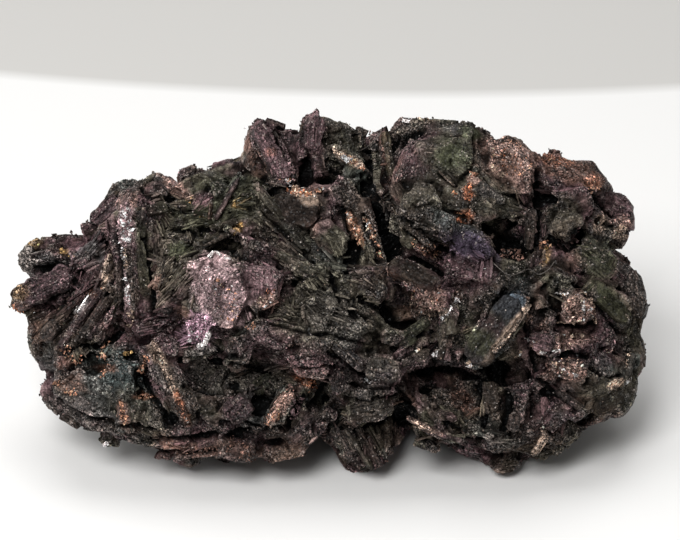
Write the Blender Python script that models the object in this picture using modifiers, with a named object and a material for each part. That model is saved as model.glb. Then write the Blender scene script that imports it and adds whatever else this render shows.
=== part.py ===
"""A turgite specimen: one mass of iron-oxide lumps and tabular crystals, grown together.

The forms are placed on the show face, the side by which the specimen is displayed. Face
coordinates are in millimetres: u runs to the right, v runs up the face and h stands out of it.
"""

import math
import random

import bmesh
import bpy
from mathutils import Matrix, Vector, noise
from mathutils.bvhtree import BVHTree

MM = 0.001
NAME = "turgite_specimen"
FACE_TIP = math.radians(60)  # how far the show face is tipped up from the table
FACE_HEIGHT = 22.1  # mm from the table to the middle of the show face
SMALL_LUMP = 3.6  # mm, a lump with no radius above this gets the fewest facets
LUMP_ROUGHNESS = 0.4  # share of its radius by which a lump's surface wanders
LUMP_WAVE = 0.23  # waves per mm of that wander
LATH_WIDTH = 2.1  # mm, a blade narrower than this is a plain lath
BLADE_BEVEL = 0.86  # outline of a blade's outer face, as a share of its inner face
BLADE_LEAN = 0.2  # share of a blade's width by which its tips and its outer face lean
BLADE_POINT = (0.1, 0.55)  # how far a blade's end is pointed, in widths
MASS_GRAIN = 0.7  # mm, size of the cells in which the mass is joined
MASS_KEPT = 0.03  # share of its facets that the mass keeps before the blades are joined to it
WHOLE_KEPT = 0.82  # share of its facets that the joined specimen keeps
TRIM_SNAP = 1e-6  # m, a corner this near the table is moved onto it
SEED = 3

# The mass: (u, v, h, radius along u, along v, along h).
LUMPS = {
    "heart": [
        (-21, -1, -5, 17, 13, 15),
        (0, 0, -5, 17, 17, 17),
        (22, 0, -6, 18, 17, 17),
    ],
    "back": [
        (-25, 5, -13, 10, 8, 9),
        (-13, 8, -18, 10, 8, 9),
        (-20, -4, -18, 10, 8, 8),
        (1, 11, -19, 10, 8, 9),
        (-2, 0, -24, 11, 8, 8),
        (14, 8, -21, 10, 8, 9),
        (27, 8, -16, 10, 8, 10),
        (34, 1, -12, 8, 9, 9),
        (19, -4, -22, 10, 8, 8),
        (8, -9, -19, 9, 7, 8),
        (-8, -9, -18, 9, 6, 8),
        (29, -8, -14, 9, 7, 9),
    ],
    "feet": [
        (-12, -19.6, -6, 9, 5.2, 7),
        (5, -19.2, -6, 5, 5.2, 6.5),
        (24.6, -20.4, -4.6, 5, 4.8, 6.4),
        (-17, -7, -20, 9, 8, 8),
        (17, -8, -20, 9, 8, 8),
    ],
    "left": [
        (-31, 1, -2, 7.5, 8, 8),
        (-37.5, 3, -3, 4.5, 3.8, 5),
        (-36, -7, -1, 5.5, 5, 6),
        (-41.9, 4.6, -2, 1.8, 2.2, 2.4),
        (-41, 6.4, -3, 1.6, 1.2, 1.8),
        (-40.8, -6.6, -1, 1.5, 2.0, 2),
    ],
    "upper_left": [
        (-25, 8, -1, 7, 7, 8),
        (-16, 10, -1, 7.5, 7, 8),
        (-19.3, 15.4, -3, 2.4, 2.7, 3),
        (-24.6, 13.4, -2, 2.2, 2.0, 2.5),
        (-12.5, 15.5, -2, 3.5, 3.4, 4),
    ],
    "towers": [
        (-4, 12, 0, 9.5, 8, 9),
        (-1, 17, -1, 5.5, 6, 6),
        (6, 15.2, -6, 9, 7.2, 8),
    ],
    "dome": [
        (16.5, 13.5, 2, 11.5, 10.8, 11),
        (25, 15, 1, 6.5, 6.3, 8),
        (32.5, 12.5, -2, 7.0, 6.6, 8),
        (37.3, 15.4, -4, 1.9, 1.6, 2.5),
        (40.3, 10.0, -5, 3.2, 4.0, 5),
        (29.2, 19.0, -4, 1.3, 1.2, 1.6),
    ],
    "right": [
        (36.5, -1, -3, 7.5, 8.5, 9),
        (41.9, 2.2, -4, 1.7, 2.2, 2.6),
        (42.6, -2.2, -4, 2.3, 4.2, 3.5),
        (41.3, -9, -3, 3.2, 4.2, 5),
        (35, -12, 0, 8, 6.5, 9),
        (39.5, -14.5, -1, 3.4, 3.2, 5),
    ],
    "lower_right": [
        (26, -15.5, 1, 9.5, 7.5, 8),
        (30, -18.5, 1, 5, 4.8, 5),
        (24.6, -22.4, -1, 3.2, 2.6, 3),
        (15.5, -16, 1, 6, 5, 6),
        (20, -19.5, 0, 4.5, 3.6, 4.5),
    ],
    "middle": [
        (0, -2, 5, 12, 8.5, 9),
        (-13.5, -0.5, 7, 8, 7.5, 7),
        (6, -12, 3, 7.5, 5.5, 7),
        (4.8, -20.8, -0.5, 4.2, 4.6, 4.6),
        (5.0, -16.5, -3, 7.0, 6.0, 7.0),
    ],
    "lower_left": [
        (-30, -12.5, 2, 8, 6.8, 9),
        (-22, -15.5, 4, 7, 6.2, 7),
        (-13, -16, 4, 6.5, 6.8, 7),
        (-6, -16.5, 3, 5.5, 6.4, 7),
        (-30, -20.3, 1, 1.7, 1.7, 2),
        (-19.8, -23.3, 1, 2.6, 1.4, 2.4),
    ],
}

# Clefts and caves cut in the mass: (u, v, h, radius along u, along v, along h, turn in the face).
HOLLOWS = [
    (6.0, 19.5, 9, 0.9, 5.0, 8, 3),
    (5.4, 14.6, 9, 1.2, 2.4, 6, 12),
    (8.2, 9.4, 13, 1.2, 6.5, 8, 17),
    (-3.9, 18.6, 9, 1.2, 4.6, 7, 8),
    (-38.6, 3.9, 3, 2.4, 1.2, 3, 5),
    (-32.2, -9.9, 10, 2.2, 1.7, 5, 30),
    (-27.4, -8.4, 11, 1.6, 1.3, 4, 0),
    (-21.6, -17.7, 11, 1.7, 1.1, 4, 10),
    (-9.6, -15.2, 12, 2.4, 1.5, 5, 20),
    (-13.4, -12.9, 12, 1.2, 1.4, 4, 30),
    (-12.2, -19.2, 11, 2.8, 1.0, 5, -12),
    (-6.8, -21.0, 9, 1.5, 0.9, 4, 0),
    (10.2, -1.8, 14, 2.2, 3.4, 8, -12),
    (13.2, -12.2, 10, 3.4, 1.9, 6, 0),
    (24.2, -11.2, 12, 4.0, 2.0, 8, 15),
    (20.5, -13.4, 10, 1.6, 2.2, 6, 0),
    (25.4, 6.8, 12, 2.6, 2.0, 6, 20),
    (35.0, 8.2, 6, 1.5, 1.1, 4, 30),
    (29.6, 13.0, 8, 0.8, 3.2, 5, 5),
    (38.3, -3.4, 7, 2.4, 1.0, 4, -35),
    (-15.6, -9.4, 15, 1.5, 0.8, 4, 8),
    (-11.5, 6.0, 13, 1.2, 1.0, 4, 0),
    (-20.5, 6.5, 10, 1.6, 1.3, 4, 0),
    (3.0, 4.0, 14, 1.4, 1.3, 4, 0),
    (9.8, -18.2, 6, 1.4, 1.4, 5, 0),
]

# Tabular crystals: (u, v, h, length, width, thickness, heading, pitch, roll). The heading turns the
# length in the face, the pitch lifts its far end out of the face, and the roll turns the broad
# side away from the front: at roll 90 the blade stands on edge.
CRYSTALS = {
    "left_tip": [
        (-39.5, 0.3, 0, 11.2, 4.2, 3.8, 24, -4, -18),
        (-37.6, 6.7, -3, 7.0, 2.6, 2.0, 8, 0, 40),
        (-35.2, 6.2, -2, 4.5, 3.2, 2.2, -12, 0, 10),
        (-38.9, -9.2, 0, 4.2, 3.6, 1.0, 2, -8, 70),
        (-38.6, -10.4, 0, 4.0, 3.4, 1.0, 0, -8, 70),
        (-40.2, -5.4, 0, 4.0, 2.6, 2.0, 60, 0, 20),
        (-36.2, -16.0, 0, 9.0, 3.0, 1.8, -33, 0, -35),
        (-38.4, -13.2, 0, 4.6, 3.0, 1.8, 60, 0, 30),
        (-30.7, -20.4, 2, 2.8, 2.6, 2.2, 20, 0, 20),
    ],
    "left_fan": [
        (-37.4, -3.6, 2, 11, 3.4, 0.9, 47, -6, 66),
        (-36.0, -2.2, 3, 13, 3.8, 0.9, 49, -6, 68),
        (-34.6, -1.4, 4, 14, 3.8, 0.8, 52, -6, 68),
        (-33.5, -2.8, 5, 13, 4.0, 0.9, 54, -5, 70),
        (-32.3, -1.2, 5.5, 14, 3.8, 0.8, 57, -5, 70),
        (-31.3, -2.8, 6, 12, 3.8, 0.9, 60, -4, 72),
        (-30.4, -0.6, 6, 13, 3.6, 0.8, 63, -4, 72),
        (-29.6, -3.2, 6.5, 10, 3.6, 0.9, 66, -4, 72),
        (-30.2, 4.6, 5, 10, 3.0, 0.9, 72, -6, 68),
        (-32.4, 5.6, 3, 9, 3.0, 0.9, 62, -6, 66),
        (-34.2, 3.6, 2, 9, 3.0, 0.9, 54, -6, 62),
    ],
    "left_rim": [
        (-31.2, 9.9, -1, 7.6, 3.6, 1.6, 40, 0, 28),
        (-30.6, 8.2, 1, 6.4, 3.2, 1.2, 46, 0, 30),
        (-28.2, 12.0, 0, 5.6, 3.2, 2.6, 68, 0, 20),
        (-27.4, 3.4, 7.5, 17, 3.7, 3.3, 97, -4, 42),
        (-25.0, 3.6, 6.5, 13, 2.6, 2.0, 98, -6, -24),
        (-22.6, 14.6, -1, 6.4, 2.4, 1.6, -36, 0, 30),
        (-23.2, 11.9, 3, 4.0, 2.8, 1.6, 20, 0, -12),
        (-17.4, 12.6, 2.5, 3.2, 3.0, 2.4, 35, 0, 10),
        (-14.8, 17.0, -3, 3.8, 2.8, 2.6, 15, 0, 10),
        (-21.6, 8.9, 5, 7.0, 1.8, 1.2, 12, 0, -25),
        (-19.4, 10.2, 4.5, 6.4, 2.0, 1.4, -24, 0, 15),
    ],
    "crossing_laths": [
        (-13.4, 13.3, 4.5, 8.2, 1.3, 1.3, 66, 0, 20),
        (-11.9, 14.0, 5, 5.6, 2.0, 0.9, 2, 0, -30),
        (-12.1, 12.6, 5.6, 5.6, 2.0, 0.9, 6, 0, -30),
        (-12.6, 9.4, 7.0, 7.0, 4.6, 1.4, -14, 0, -14),
        (-11.9, 7.4, 8.2, 8.4, 1.4, 1.0, -28, 0, 10),
        (-6.8, 10.2, 8.6, 13.5, 1.5, 1.2, -53, 0, 8),
        (-5.9, 7.6, 9.6, 12.5, 1.3, 1.1, -47, 0, -6),
        (-18.4, 5.9, 7.2, 9.6, 1.5, 1.2, 27, 0, 12),
        (-16.6, 7.6, 6.8, 7.4, 1.4, 1.1, 14, 0, -20),
        (-5.2, 4.4, 11.4, 13.4, 1.6, 1.2, -24, 0, -6),
        (-21.6, 1.6, 8, 7.6, 3.0, 1.4, 64, -4, 24),
        (-21.4, -2.6, 9, 7.6, 3.2, 1.6, 30, 0, -14),
        (-24.2, -4.6, 8.4, 6.6, 3.0, 1.4, 12, 0, 20),
    ],
    "towers": [
        (-7.6, 19.4, 5.0, 10.6, 3.8, 3.2, -66, 4, -16),
        (-10.0, 20.2, 1.5, 7.0, 3.0, 3.0, 76, 0, 24),
        (-8.6, 22.0, 0, 5.6, 4.0, 3.0, -6, 0, 12),
        (-5.9, 20.6, 1.0, 7.0, 5.0, 2.4, 48, -8, -30),
        (-2.1, 21.6, 3.8, 8.2, 4.0, 3.2, 84, 0, 14),
        (0.9, 20.8, 1.6, 8.8, 5.2, 3.6, 112, 0, -16),
        (2.6, 18.7, 5.4, 6.4, 2.2, 2.0, -28, 0, -10),
        (-6.4, 14.9, 6.4, 5.6, 2.4, 1.5, 6, 0, -36),
        (-1.6, 16.4, 6.0, 3.8, 1.2, 1.2, 88, 0, 0),
        (-3.4, 11.1, 8.4, 9.6, 6.2, 2.4, 8, 0, -18),
        (0.6, 12.4, 7.8, 5.2, 4.6, 2.6, 70, 0, 12),
        (4.6, 10.6, 6.6, 14.0, 4.4, 3.2, -62, 0, 18),
        (2.4, 5.2, 9.6, 6.4, 2.4, 2.2, 82, 0, -12),
        (5.4, 6.8, 9.0, 6.0, 3.0, 2.2, -70, 0, 10),
        (4.9, 21.6, 1.0, 5.0, 1.7, 2.4, 92, 0, 12),
    ],
    "dome": [
        (7.7, 17.6, 7.4, 10.4, 2.6, 2.8, 97, -4, 26),
        (8.9, 11.6, 10.2, 9.0, 2.6, 2.0, -64, 0, 24),
        (12.6, 16.4, 11.2, 10.6, 6.6, 3.0, 66, -6, 12),
        (16.8, 18.4, 10.4, 8.2, 6.4, 3.0, -34, -10, -12),
        (14.2, 21.7, 4.6, 12.6, 4.4, 3.4, -3, 0, -40),
        (20.4, 20.6, 6.4, 7.4, 4.6, 3.0, -22, 0, -34),
        (24.4, 17.2, 8.6, 9.4, 7.0, 3.2, -46, -8, 8),
        (25.4, 20.2, 2.0, 4.4, 3.2, 3.0, -20, 0, 0),
        (12.9, 12.9, 13.0, 6.6, 4.6, 2.2, -10, 0, -8),
        (14.0, 10.1, 13.2, 9.4, 3.6, 2.2, -24, 0, -16),
        (20.2, 12.4, 11.8, 8.2, 4.6, 2.6, -32, 0, 14),
        (24.6, 11.8, 9.4, 7.4, 2.4, 1.8, -30, 0, -26),
        (19.2, 6.6, 11.8, 8.6, 5.2, 2.4, -28, 0, 14),
        (19.4, 3.2, 11.2, 7.6, 4.0, 2.4, -12, 0, -20),
        (28.1, 8.9, 8.6, 5.0, 1.9, 1.8, 84, 0, 14),
        (11.4, 8.0, 12.2, 8.6, 3.2, 2.0, -30, 0, 20),
    ],
    "right_rim": [
        (33.0, 16.8, -1, 8.4, 3.8, 3.2, -16, 0, -14),
        (36.8, 15.0, -2, 4.0, 2.6, 2.6, -26, 0, 10),
        (40.0, 11.0, -3, 6.0, 5.0, 4.4, -34, 0, 12),
        (41.1, 7.9, -3, 3.8, 3.2, 3.2, 10, 0, 16),
        (33.2, 12.2, 5.6, 6.4, 4.8, 2.8, 14, 0, 14),
        (32.6, 9.2, 7.0, 6.0, 4.4, 2.4, 10, 0, -20),
        (38.4, 8.6, 1.6, 5.0, 3.0, 2.4, 54, 0, 14),
        (36.4, 12.6, 2.4, 5.4, 2.0, 1.8, -66, 0, 10),
        (37.6, 4.3, 3.6, 7.2, 4.4, 2.2, -34, 0, -14),
        (39.2, -0.9, 4.2, 8.8, 4.2, 1.8, -41, 0, -16),
        (33.0, 4.2, 6.2, 6.6, 3.8, 2.4, 8, 0, 10),
        (43.3, -1.2, -3, 5.6, 3.0, 2.4, -78, 0, 16),
        (43.2, -8.6, -3, 5.4, 2.6, 2.4, 92, 0, -18),
    ],
    "right_blocks": [
        (34.2, -2.2, 8.2, 5.0, 4.2, 3.2, -4, 0, 10),
        (29.8, -7.0, 9.0, 5.4, 3.4, 2.8, -16, 0, 14),
        (34.4, -5.8, 7.6, 5.2, 1.6, 2.0, 4, 0, -20),
        (34.6, -7.6, 7.8, 5.4, 1.6, 2.0, 8, 0, -20),
        (33.2, -10.4, 8.0, 6.6, 3.0, 2.6, -12, 0, 14),
        (29.0, -0.9, 9.6, 2.6, 3.4, 2.0, 84, 0, 8),
        (29.2, 1.2, 10.4, 3.8, 0.9, 0.9, 33, 0, 0),
        (30.6, -3.8, 8.6, 4.6, 2.0, 1.8, 60, 0, 10),
        (26.1, -7.4, 10.6, 3.6, 1.8, 1.8, -66, 0, 10),
        (38.2, -7.0, 3.8, 4.4, 3.6, 2.4, 70, 0, 12),
        (41.4, -11.2, 1.2, 4.4, 1.8, 2.0, 52, 0, -14),
        (39.4, -13.0, 2.4, 4.4, 1.8, 2.0, 18, 0, -14),
        (38.8, -15.4, 1.4, 7.0, 4.6, 3.0, 16, 0, 18),
    ],
    "slab": [
        (23.2, -4.9, 13.6, 12.4, 6.0, 2.0, 52, 0, -30),
        (19.6, -9.2, 11.6, 5.4, 2.2, 1.8, -24, 0, 10),
        (21.6, 0.4, 10.4, 4.0, 2.4, 2.0, 62, 0, 20),
        (24.6, 1.6, 10.2, 4.0, 2.0, 1.6, -40, 0, 0),
        (24.2, 4.4, 9.6, 7.0, 3.0, 2.2, -14, 0, -14),
        (31.4, 1.4, 8.2, 7.4, 3.8, 2.4, -30, 0, 12),
    ],
    "ledge": [
        (11.6, 2.5, 14.0, 8.4, 4.2, 1.3, -27, 0, -26),
        (14.6, -0.9, 13.0, 5.4, 2.8, 2.4, -14, 0, 10),
        (16.4, -5.2, 12.4, 9.6, 2.0, 2.6, 78, 0, 16),
        (12.4, -5.2, 11.4, 5.2, 1.7, 1.6, 32, 0, 8),
        (13.0, -7.3, 11.8, 4.6, 1.9, 1.8, 16, 0, -12),
        (9.4, -6.2, 11.8, 5.2, 2.6, 2.0, -18, 0, 10),
        (11.6, -9.2, 11.6, 6.4, 2.0, 1.8, 2, 0, -24),
    ],
    "middle": [
        (1.6, -3.4, 13.0, 11.6, 7.4, 2.8, -22, 0, 4),
        (4.0, 1.0, 12.4, 9.4, 3.2, 2.2, -16, 0, -14),
        (2.8, -8.5, 13.6, 6.0, 1.4, 1.4, -42, 0, 0),
        (8.0, -10.3, 11.8, 5.6, 3.8, 2.6, -6, 0, -8),
        (6.6, -13.6, 10.6, 6.4, 2.4, 2.0, 12, 0, -22),
        (6.0, -16.4, 9.4, 7.2, 3.4, 2.4, 16, 0, 14),
        (1.6, -12.2, 11.2, 3.8, 3.4, 2.4, 54, 0, 6),
        (-3.0, -9.6, 13.2, 7.2, 4.4, 2.4, -8, 0, 8),
        (-3.0, 2.2, 12.6, 7.2, 3.4, 2.0, -24, 0, 10),
        (0.8, 6.8, 10.4, 7.4, 3.8, 2.2, -46, 0, 12),
        (-7.6, -5.6, 13.8, 8.0, 3.8, 2.0, -12, 0, -10),
        (-2.4, -6.6, 13.6, 7.4, 2.6, 2.0, -30, 0, 14),
    ],
    "lilac_mound": [
        (-14.4, 0.2, 14.4, 10.0, 7.6, 2.6, 64, 0, 6),
        (-9.2, 0.6, 13.4, 7.4, 5.6, 2.4, 78, 0, -12),
        (-16.2, 4.7, 12.6, 3.0, 1.8, 1.6, 30, 0, 0),
        (-17.7, -5.4, 13.4, 4.6, 3.2, 2.0, -28, 0, 14),
        (-17.4, -8.2, 13.4, 6.0, 1.6, 1.6, 8, 0, -18),
        (-22.4, -7.3, 11.8, 4.4, 2.6, 2.0, -18, 0, 10),
        (-17.0, -11.6, 11.6, 5.8, 4.4, 2.4, -34, 0, 14),
        (-12.4, -8.6, 13.0, 5.2, 3.8, 2.2, 72, 0, 12),
    ],
    "lower_left": [
        (-22.6, -12.8, 11.4, 12.6, 2.2, 2.2, -58, 0, 24),
        (-20.6, -12.4, 11.2, 10.4, 2.4, 1.8, -60, 0, -28),
        (-26.4, -19.6, 5.4, 10.0, 2.6, 2.0, -17, 0, -14),
        (-17.0, -21.9, 5.6, 9.4, 2.4, 2.0, 4, 0, -10),
        (-22.8, -22.3, 3.6, 3.8, 2.0, 2.0, -8, 0, 0),
        (-33.4, -6.4, 7.2, 7.4, 2.8, 2.0, 48, 0, 40),
        (-36.4, -9.4, 4.4, 5.4, 3.2, 2.4, 76, 0, 16),
        (-24.4, -9.6, 10.4, 4.6, 2.2, 2.0, -74, 0, 14),
        (-34.6, -13.2, 8.2, 6.6, 4.6, 2.0, -24, 0, 12),
        (-28.6, -12.6, 10.2, 8.0, 5.4, 2.2, 34, 0, -8),
        (-27.6, -16.6, 8.8, 6.6, 3.2, 2.2, 78, 0, 10),
        (-31.8, -17.0, 6.6, 6.0, 3.2, 2.0, -34, 0, -14),
    ],
    "lower_middle": [
        (-12.4, -15.7, 10.8, 4.2, 3.2, 2.4, 30, 0, -10),
        (-6.2, -15.8, 10.6, 6.8, 2.8, 2.6, 60, 0, 18),
        (-9.6, -12.0, 11.8, 6.4, 2.8, 1.8, 36, 0, -18),
        (-3.1, -14.4, 9.8, 5.0, 1.2, 1.8, 84, 0, 10),
        (-1.5, -14.6, 9.4, 5.0, 1.2, 1.8, 96, 0, 10),
        (-12.6, -21.8, 6.2, 6.4, 3.4, 2.8, -14, 0, 10),
        (-6.4, -21.9, 5.2, 6.8, 3.0, 2.8, 12, 0, 10),
        (-1.9, -18.9, 5.4, 8.4, 2.6, 2.2, 46, 0, 14),
        (-8.4, -18.6, 8.8, 6.0, 1.4, 1.4, -8, 0, 0),
        (-16.0, -16.4, 9.8, 5.6, 2.6, 2.0, -64, 0, 14),
    ],
    "foot_fan": [
        (1.8, -20.6, 2.6, 6.4, 1.5, 1.8, -58, -8, 30),
        (3.0, -21.2, 3.2, 7.4, 1.5, 1.8, -62, -8, 26),
        (4.3, -21.4, 3.6, 7.8, 1.5, 1.8, -66, -8, 20),
        (5.6, -21.4, 3.6, 7.4, 1.5, 1.8, -70, -8, 12),
        (6.9, -21.1, 3.2, 6.6, 1.5, 1.8, -74, -8, 0),
        (8.2, -20.6, 2.4, 5.6, 1.6, 1.8, 94, -8, -14),
        (9.4, -20.8, 0.6, 3.6, 1.8, 1.6, 70, 0, 20),
    ],
    "lower_right": [
        (12.9, -18.5, 8.4, 5.2, 1.2, 1.1, -28, 0, 0),
        (16.9, -20.1, 7.8, 4.4, 1.2, 1.1, -10, 0, 0),
        (16.4, -18.1, 7.2, 4.0, 2.8, 2.2, 30, 0, 10),
        (18.2, -14.6, 8.4, 6.6, 3.0, 2.2, -46, 0, 16),
        (15.7, -14.2, 8.0, 4.8, 1.4, 1.6, 84, 0, 10),
        (14.0, -20.9, 4.6, 6.0, 2.0, 2.0, -14, 0, 10),
        (22.9, -15.4, 9.4, 6.8, 2.9, 2.6, 99, 0, 14),
        (26.4, -15.6, 8.8, 6.4, 2.6, 2.4, 82, 0, -14),
        (29.4, -21.2, 5.8, 4.6, 1.2, 1.2, 58, 0, 0),
        (33.2, -15.8, 7.2, 6.8, 2.4, 2.0, -36, 0, 20),
        (31.4, -17.6, 6.6, 4.8, 2.6, 2.2, 40, 0, 10),
        (25.0, -24.0, 1.0, 5.2, 2.4, 2.2, 12, 0, 0),
        (21.6, -19.6, 7.0, 6.6, 2.4, 2.2, -18, 0, 10),
        (26.4, -19.8, 7.2, 6.0, 2.4, 2.0, 16, 0, -14),
        (29.6, -12.2, 8.0, 5.0, 2.6, 2.0, 16, 0, 14),
        (37.0, -11.6, 5.8, 6.4, 3.6, 2.4, 62, 0, -12),
        (34.4, -19.0, 2.6, 4.6, 2.0, 2.4, 38, 0, 12),
        (31.8, -21.7, 2.2, 4.0, 2.0, 2.4, 44, 0, 12),
    ],
}

# Bundles of parallel blades that cover the back and the underside by rule.
BUNDLES = 24
BUNDLE_BLADES = (2, 3)
BUNDLE_GAP = 0.9  # spacing of a bundle's blades, in blade widths
BUNDLE_SPREAD = 0.25  # radians by which a bundle's blades fan out
BUNDLE_LENGTH = (9.0, 15.0)
BUNDLE_WIDTH = (3.0, 5.4)
BUNDLE_THICKNESS = (1.8, 3.4)
BUNDLE_ROLL = 0.6  # radians by which a bundle is tilted about its length
BUNDLE_SLIDE = (1.0, 0.8)  # mm by which a bundle's blades are shifted along and out
SHORTEST_BLADE = 0.7  # share of its bundle's length that a blade has at least
SURVEY_REACH = 120  # mm, how far out a ray towards the mass sets off
SURVEY_AIM = ((-28, 30), (-6, 4))  # mm, where in the mass a ray is aimed, in u and v
SURVEY_DEPTH = -5  # mm, and in h
SURVEY_HEADING = ((0, 0.6), (0, 1), (-0.6, 1))  # a ray's way out: mean and spread of u, v and h
BUNDLE_FRONT = -9.0  # mm, no bundle sits further to the front than this
BUNDLE_SPACING = 9.5  # mm between the middles of two bundles


def clear_scene():
    for old in list(bpy.data.objects):
        bpy.data.objects.remove(old)


def face_matrix():
    """From face coordinates in millimetres to the part's frame in metres."""
    lift = Matrix.Translation((0, 0, FACE_HEIGHT * MM))
    return lift @ Matrix.Rotation(FACE_TIP, 4, "X") @ Matrix.Scale(MM, 4)


def keep_as_object(mesh_data, name, matrix, collection):
    mesh = bpy.data.meshes.new(name)
    mesh_data.to_mesh(mesh)
    mesh_data.free()
    mesh.transform(matrix)
    made = bpy.data.objects.new(name, mesh)
    if collection.hide_render:
        made.hide_render = True
        made.display_type = "WIRE"
    collection.objects.link(made)
    return made


def helper_collection(name):
    """Holds forms that are joined to the specimen or cut from it."""
    made = bpy.data.collections.new(name)
    made.hide_render = True
    bpy.context.scene.collection.children.link(made)
    return made


def lump(name, place, radii, turn, collection):
    """A faceted, uneven ball."""
    ball = bmesh.new()
    fineness = 2 if max(radii) > SMALL_LUMP else 1
    bmesh.ops.create_icosphere(ball, subdivisions=fineness, radius=1)
    centre = Vector(place)
    for vertex in ball.verts:
        spot = centre + Vector(vertex.co[i] * radii[i] for i in range(3))
        vertex.co *= 1 + LUMP_ROUGHNESS * noise.noise(spot * LUMP_WAVE)
    size = Matrix.Diagonal((*radii, 1))
    pose = Matrix.Translation(place) @ Matrix.Rotation(math.radians(turn), 4, "Z") @ size
    return keep_as_object(ball, name, face_matrix() @ pose, collection)


def blade_mesh(length, width, thickness, rng):
    """A tabular crystal along X: a six-sided plate, or a plain lath where it is narrow."""
    plate = bmesh.new()
    sides, turn = (4, math.pi / 4) if width < LATH_WIDTH else (6, 0)
    bmesh.ops.create_cone(
        plate,
        cap_ends=True,
        segments=sides,
        radius1=1,
        radius2=BLADE_BEVEL,
        depth=thickness,
        matrix=Matrix.Rotation(turn, 4, "Z"),
    )
    shift = rng.uniform(-BLADE_LEAN, BLADE_LEAN) * width
    ends = [rng.uniform(*BLADE_POINT) * width for _ in range(2)]
    tips = [rng.uniform(-BLADE_LEAN, BLADE_LEAN) * width for _ in range(2)]
    for vertex in plate.verts:
        outer = vertex.co.z > 0
        scale = BLADE_BEVEL if outer else 1
        side, along = vertex.co.x / scale, vertex.co.y / scale
        far = along > 0
        if abs(side) < 0.1:
            x, y = length / 2, tips[far]
        else:
            x, y = length / 2 - ends[far], math.copysign(width / 2, side)
        vertex.co.x = math.copysign(x, along) * scale + shift * outer
        vertex.co.y = y * scale
    bmesh.ops.recalc_face_normals(plate, faces=plate.faces)
    return plate


def pose_of(place, heading, pitch, roll):
    turn = Matrix.Rotation(math.radians(heading), 4, "Z")
    lift = Matrix.Rotation(math.radians(-pitch), 4, "Y")
    spin = Matrix.Rotation(math.radians(roll), 4, "X")
    return Matrix.Translation(place) @ turn @ lift @ spin


def place_crystals(collection):
    for region, blades in CRYSTALS.items():
        for index, (u, v, h, length, width, thickness, heading, pitch, roll) in enumerate(blades):
            rng = random.Random(f"{region}{index}")
            blade = blade_mesh(length, width, thickness, rng)
            pose = face_matrix() @ pose_of((u, v, h), heading, pitch, roll)
            keep_as_object(blade, f"{region}_{index}", pose, collection)


def surface_of(lumps):
    """A search tree of the lumps' surfaces in face coordinates."""
    to_face = face_matrix().inverted()
    points, faces = [], []
    for form in lumps.objects:
        start = len(points)
        points += [to_face @ vertex.co for vertex in form.data.vertices]
        faces += [[start + index for index in face.vertices] for face in form.data.polygons]
    return BVHTree.FromPolygons(points, faces)


def survey(surface, rng):
    """A random spot on the mass and the way out of it there."""
    heading = Vector(rng.gauss(*spread) for spread in SURVEY_HEADING).normalized()
    aim = Vector((*(rng.uniform(*reach) for reach in SURVEY_AIM), SURVEY_DEPTH))
    spot, out, _, _ = surface.ray_cast(aim + heading * SURVEY_REACH, -heading)
    return spot, out


def place_bundle(name, spot, out, rng, collection):
    length, width = rng.uniform(*BUNDLE_LENGTH), rng.uniform(*BUNDLE_WIDTH)
    thickness = rng.uniform(*BUNDLE_THICKNESS)
    frame = Matrix.Translation(spot) @ out.to_track_quat("Z", "Y").to_matrix().to_4x4()
    frame @= Matrix.Rotation(rng.uniform(0, math.tau), 4, "Z")
    frame @= Matrix.Rotation(rng.uniform(-BUNDLE_ROLL, BUNDLE_ROLL), 4, "X")
    count = rng.randint(*BUNDLE_BLADES)
    for index in range(count):
        blade = blade_mesh(length * rng.uniform(SHORTEST_BLADE, 1), width, thickness, rng)
        aside = (index - (count - 1) / 2) * width * BUNDLE_GAP
        along, outward = (rng.uniform(-most, most) for most in BUNDLE_SLIDE)
        slide = Matrix.Translation((along, aside, outward))
        fan = Matrix.Rotation(rng.uniform(-BUNDLE_SPREAD, BUNDLE_SPREAD), 4, "Z")
        keep_as_object(blade, f"{name}_{index}", face_matrix() @ frame @ slide @ fan, collection)


def place_bundles(lumps, collection):
    """Bundles of blades on the sides of the mass that face away from the front."""
    rng = random.Random(SEED)
    surface = surface_of(lumps)
    sites = []
    while len(sites) < BUNDLES:
        spot, out = survey(surface, rng)
        if spot is None or spot.z > BUNDLE_FRONT:
            continue
        if any((spot - site).length < BUNDLE_SPACING for site in sites):
            continue
        place_bundle(f"bundle_{len(sites)}", spot, out, rng, collection)
        sites.append(spot)


def trim_feet(mesh_data):
    """Trims off all that reaches below the table, and closes the feet with flat faces."""
    whole = [*mesh_data.verts, *mesh_data.edges, *mesh_data.faces]
    cut = bmesh.ops.bisect_plane(
        mesh_data, geom=whole, dist=TRIM_SNAP, plane_no=(0, 0, -1), clear_outer=True
    )
    rim = [item for item in cut["geom_cut"] if isinstance(item, bmesh.types.BMEdge)]
    bmesh.ops.triangle_fill(mesh_data, edges=rim, use_beauty=True, normal=(0, 0, -1))


def add_boolean(target, operation, collection):
    modifier = target.modifiers.new(f"{operation.lower()}_{collection.name}", "BOOLEAN")
    modifier.operation = operation
    modifier.operand_type = "COLLECTION"
    modifier.collection = collection
    modifier.solver = "EXACT"
    modifier.use_self = True


def add_remesh(target, grain):
    modifier = target.modifiers.new("remesh", "REMESH")
    modifier.mode = "VOXEL"
    modifier.voxel_size = grain * MM


def add_thinning(target, kept):
    modifier = target.modifiers.new("thinning", "DECIMATE")
    modifier.ratio = kept


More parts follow.
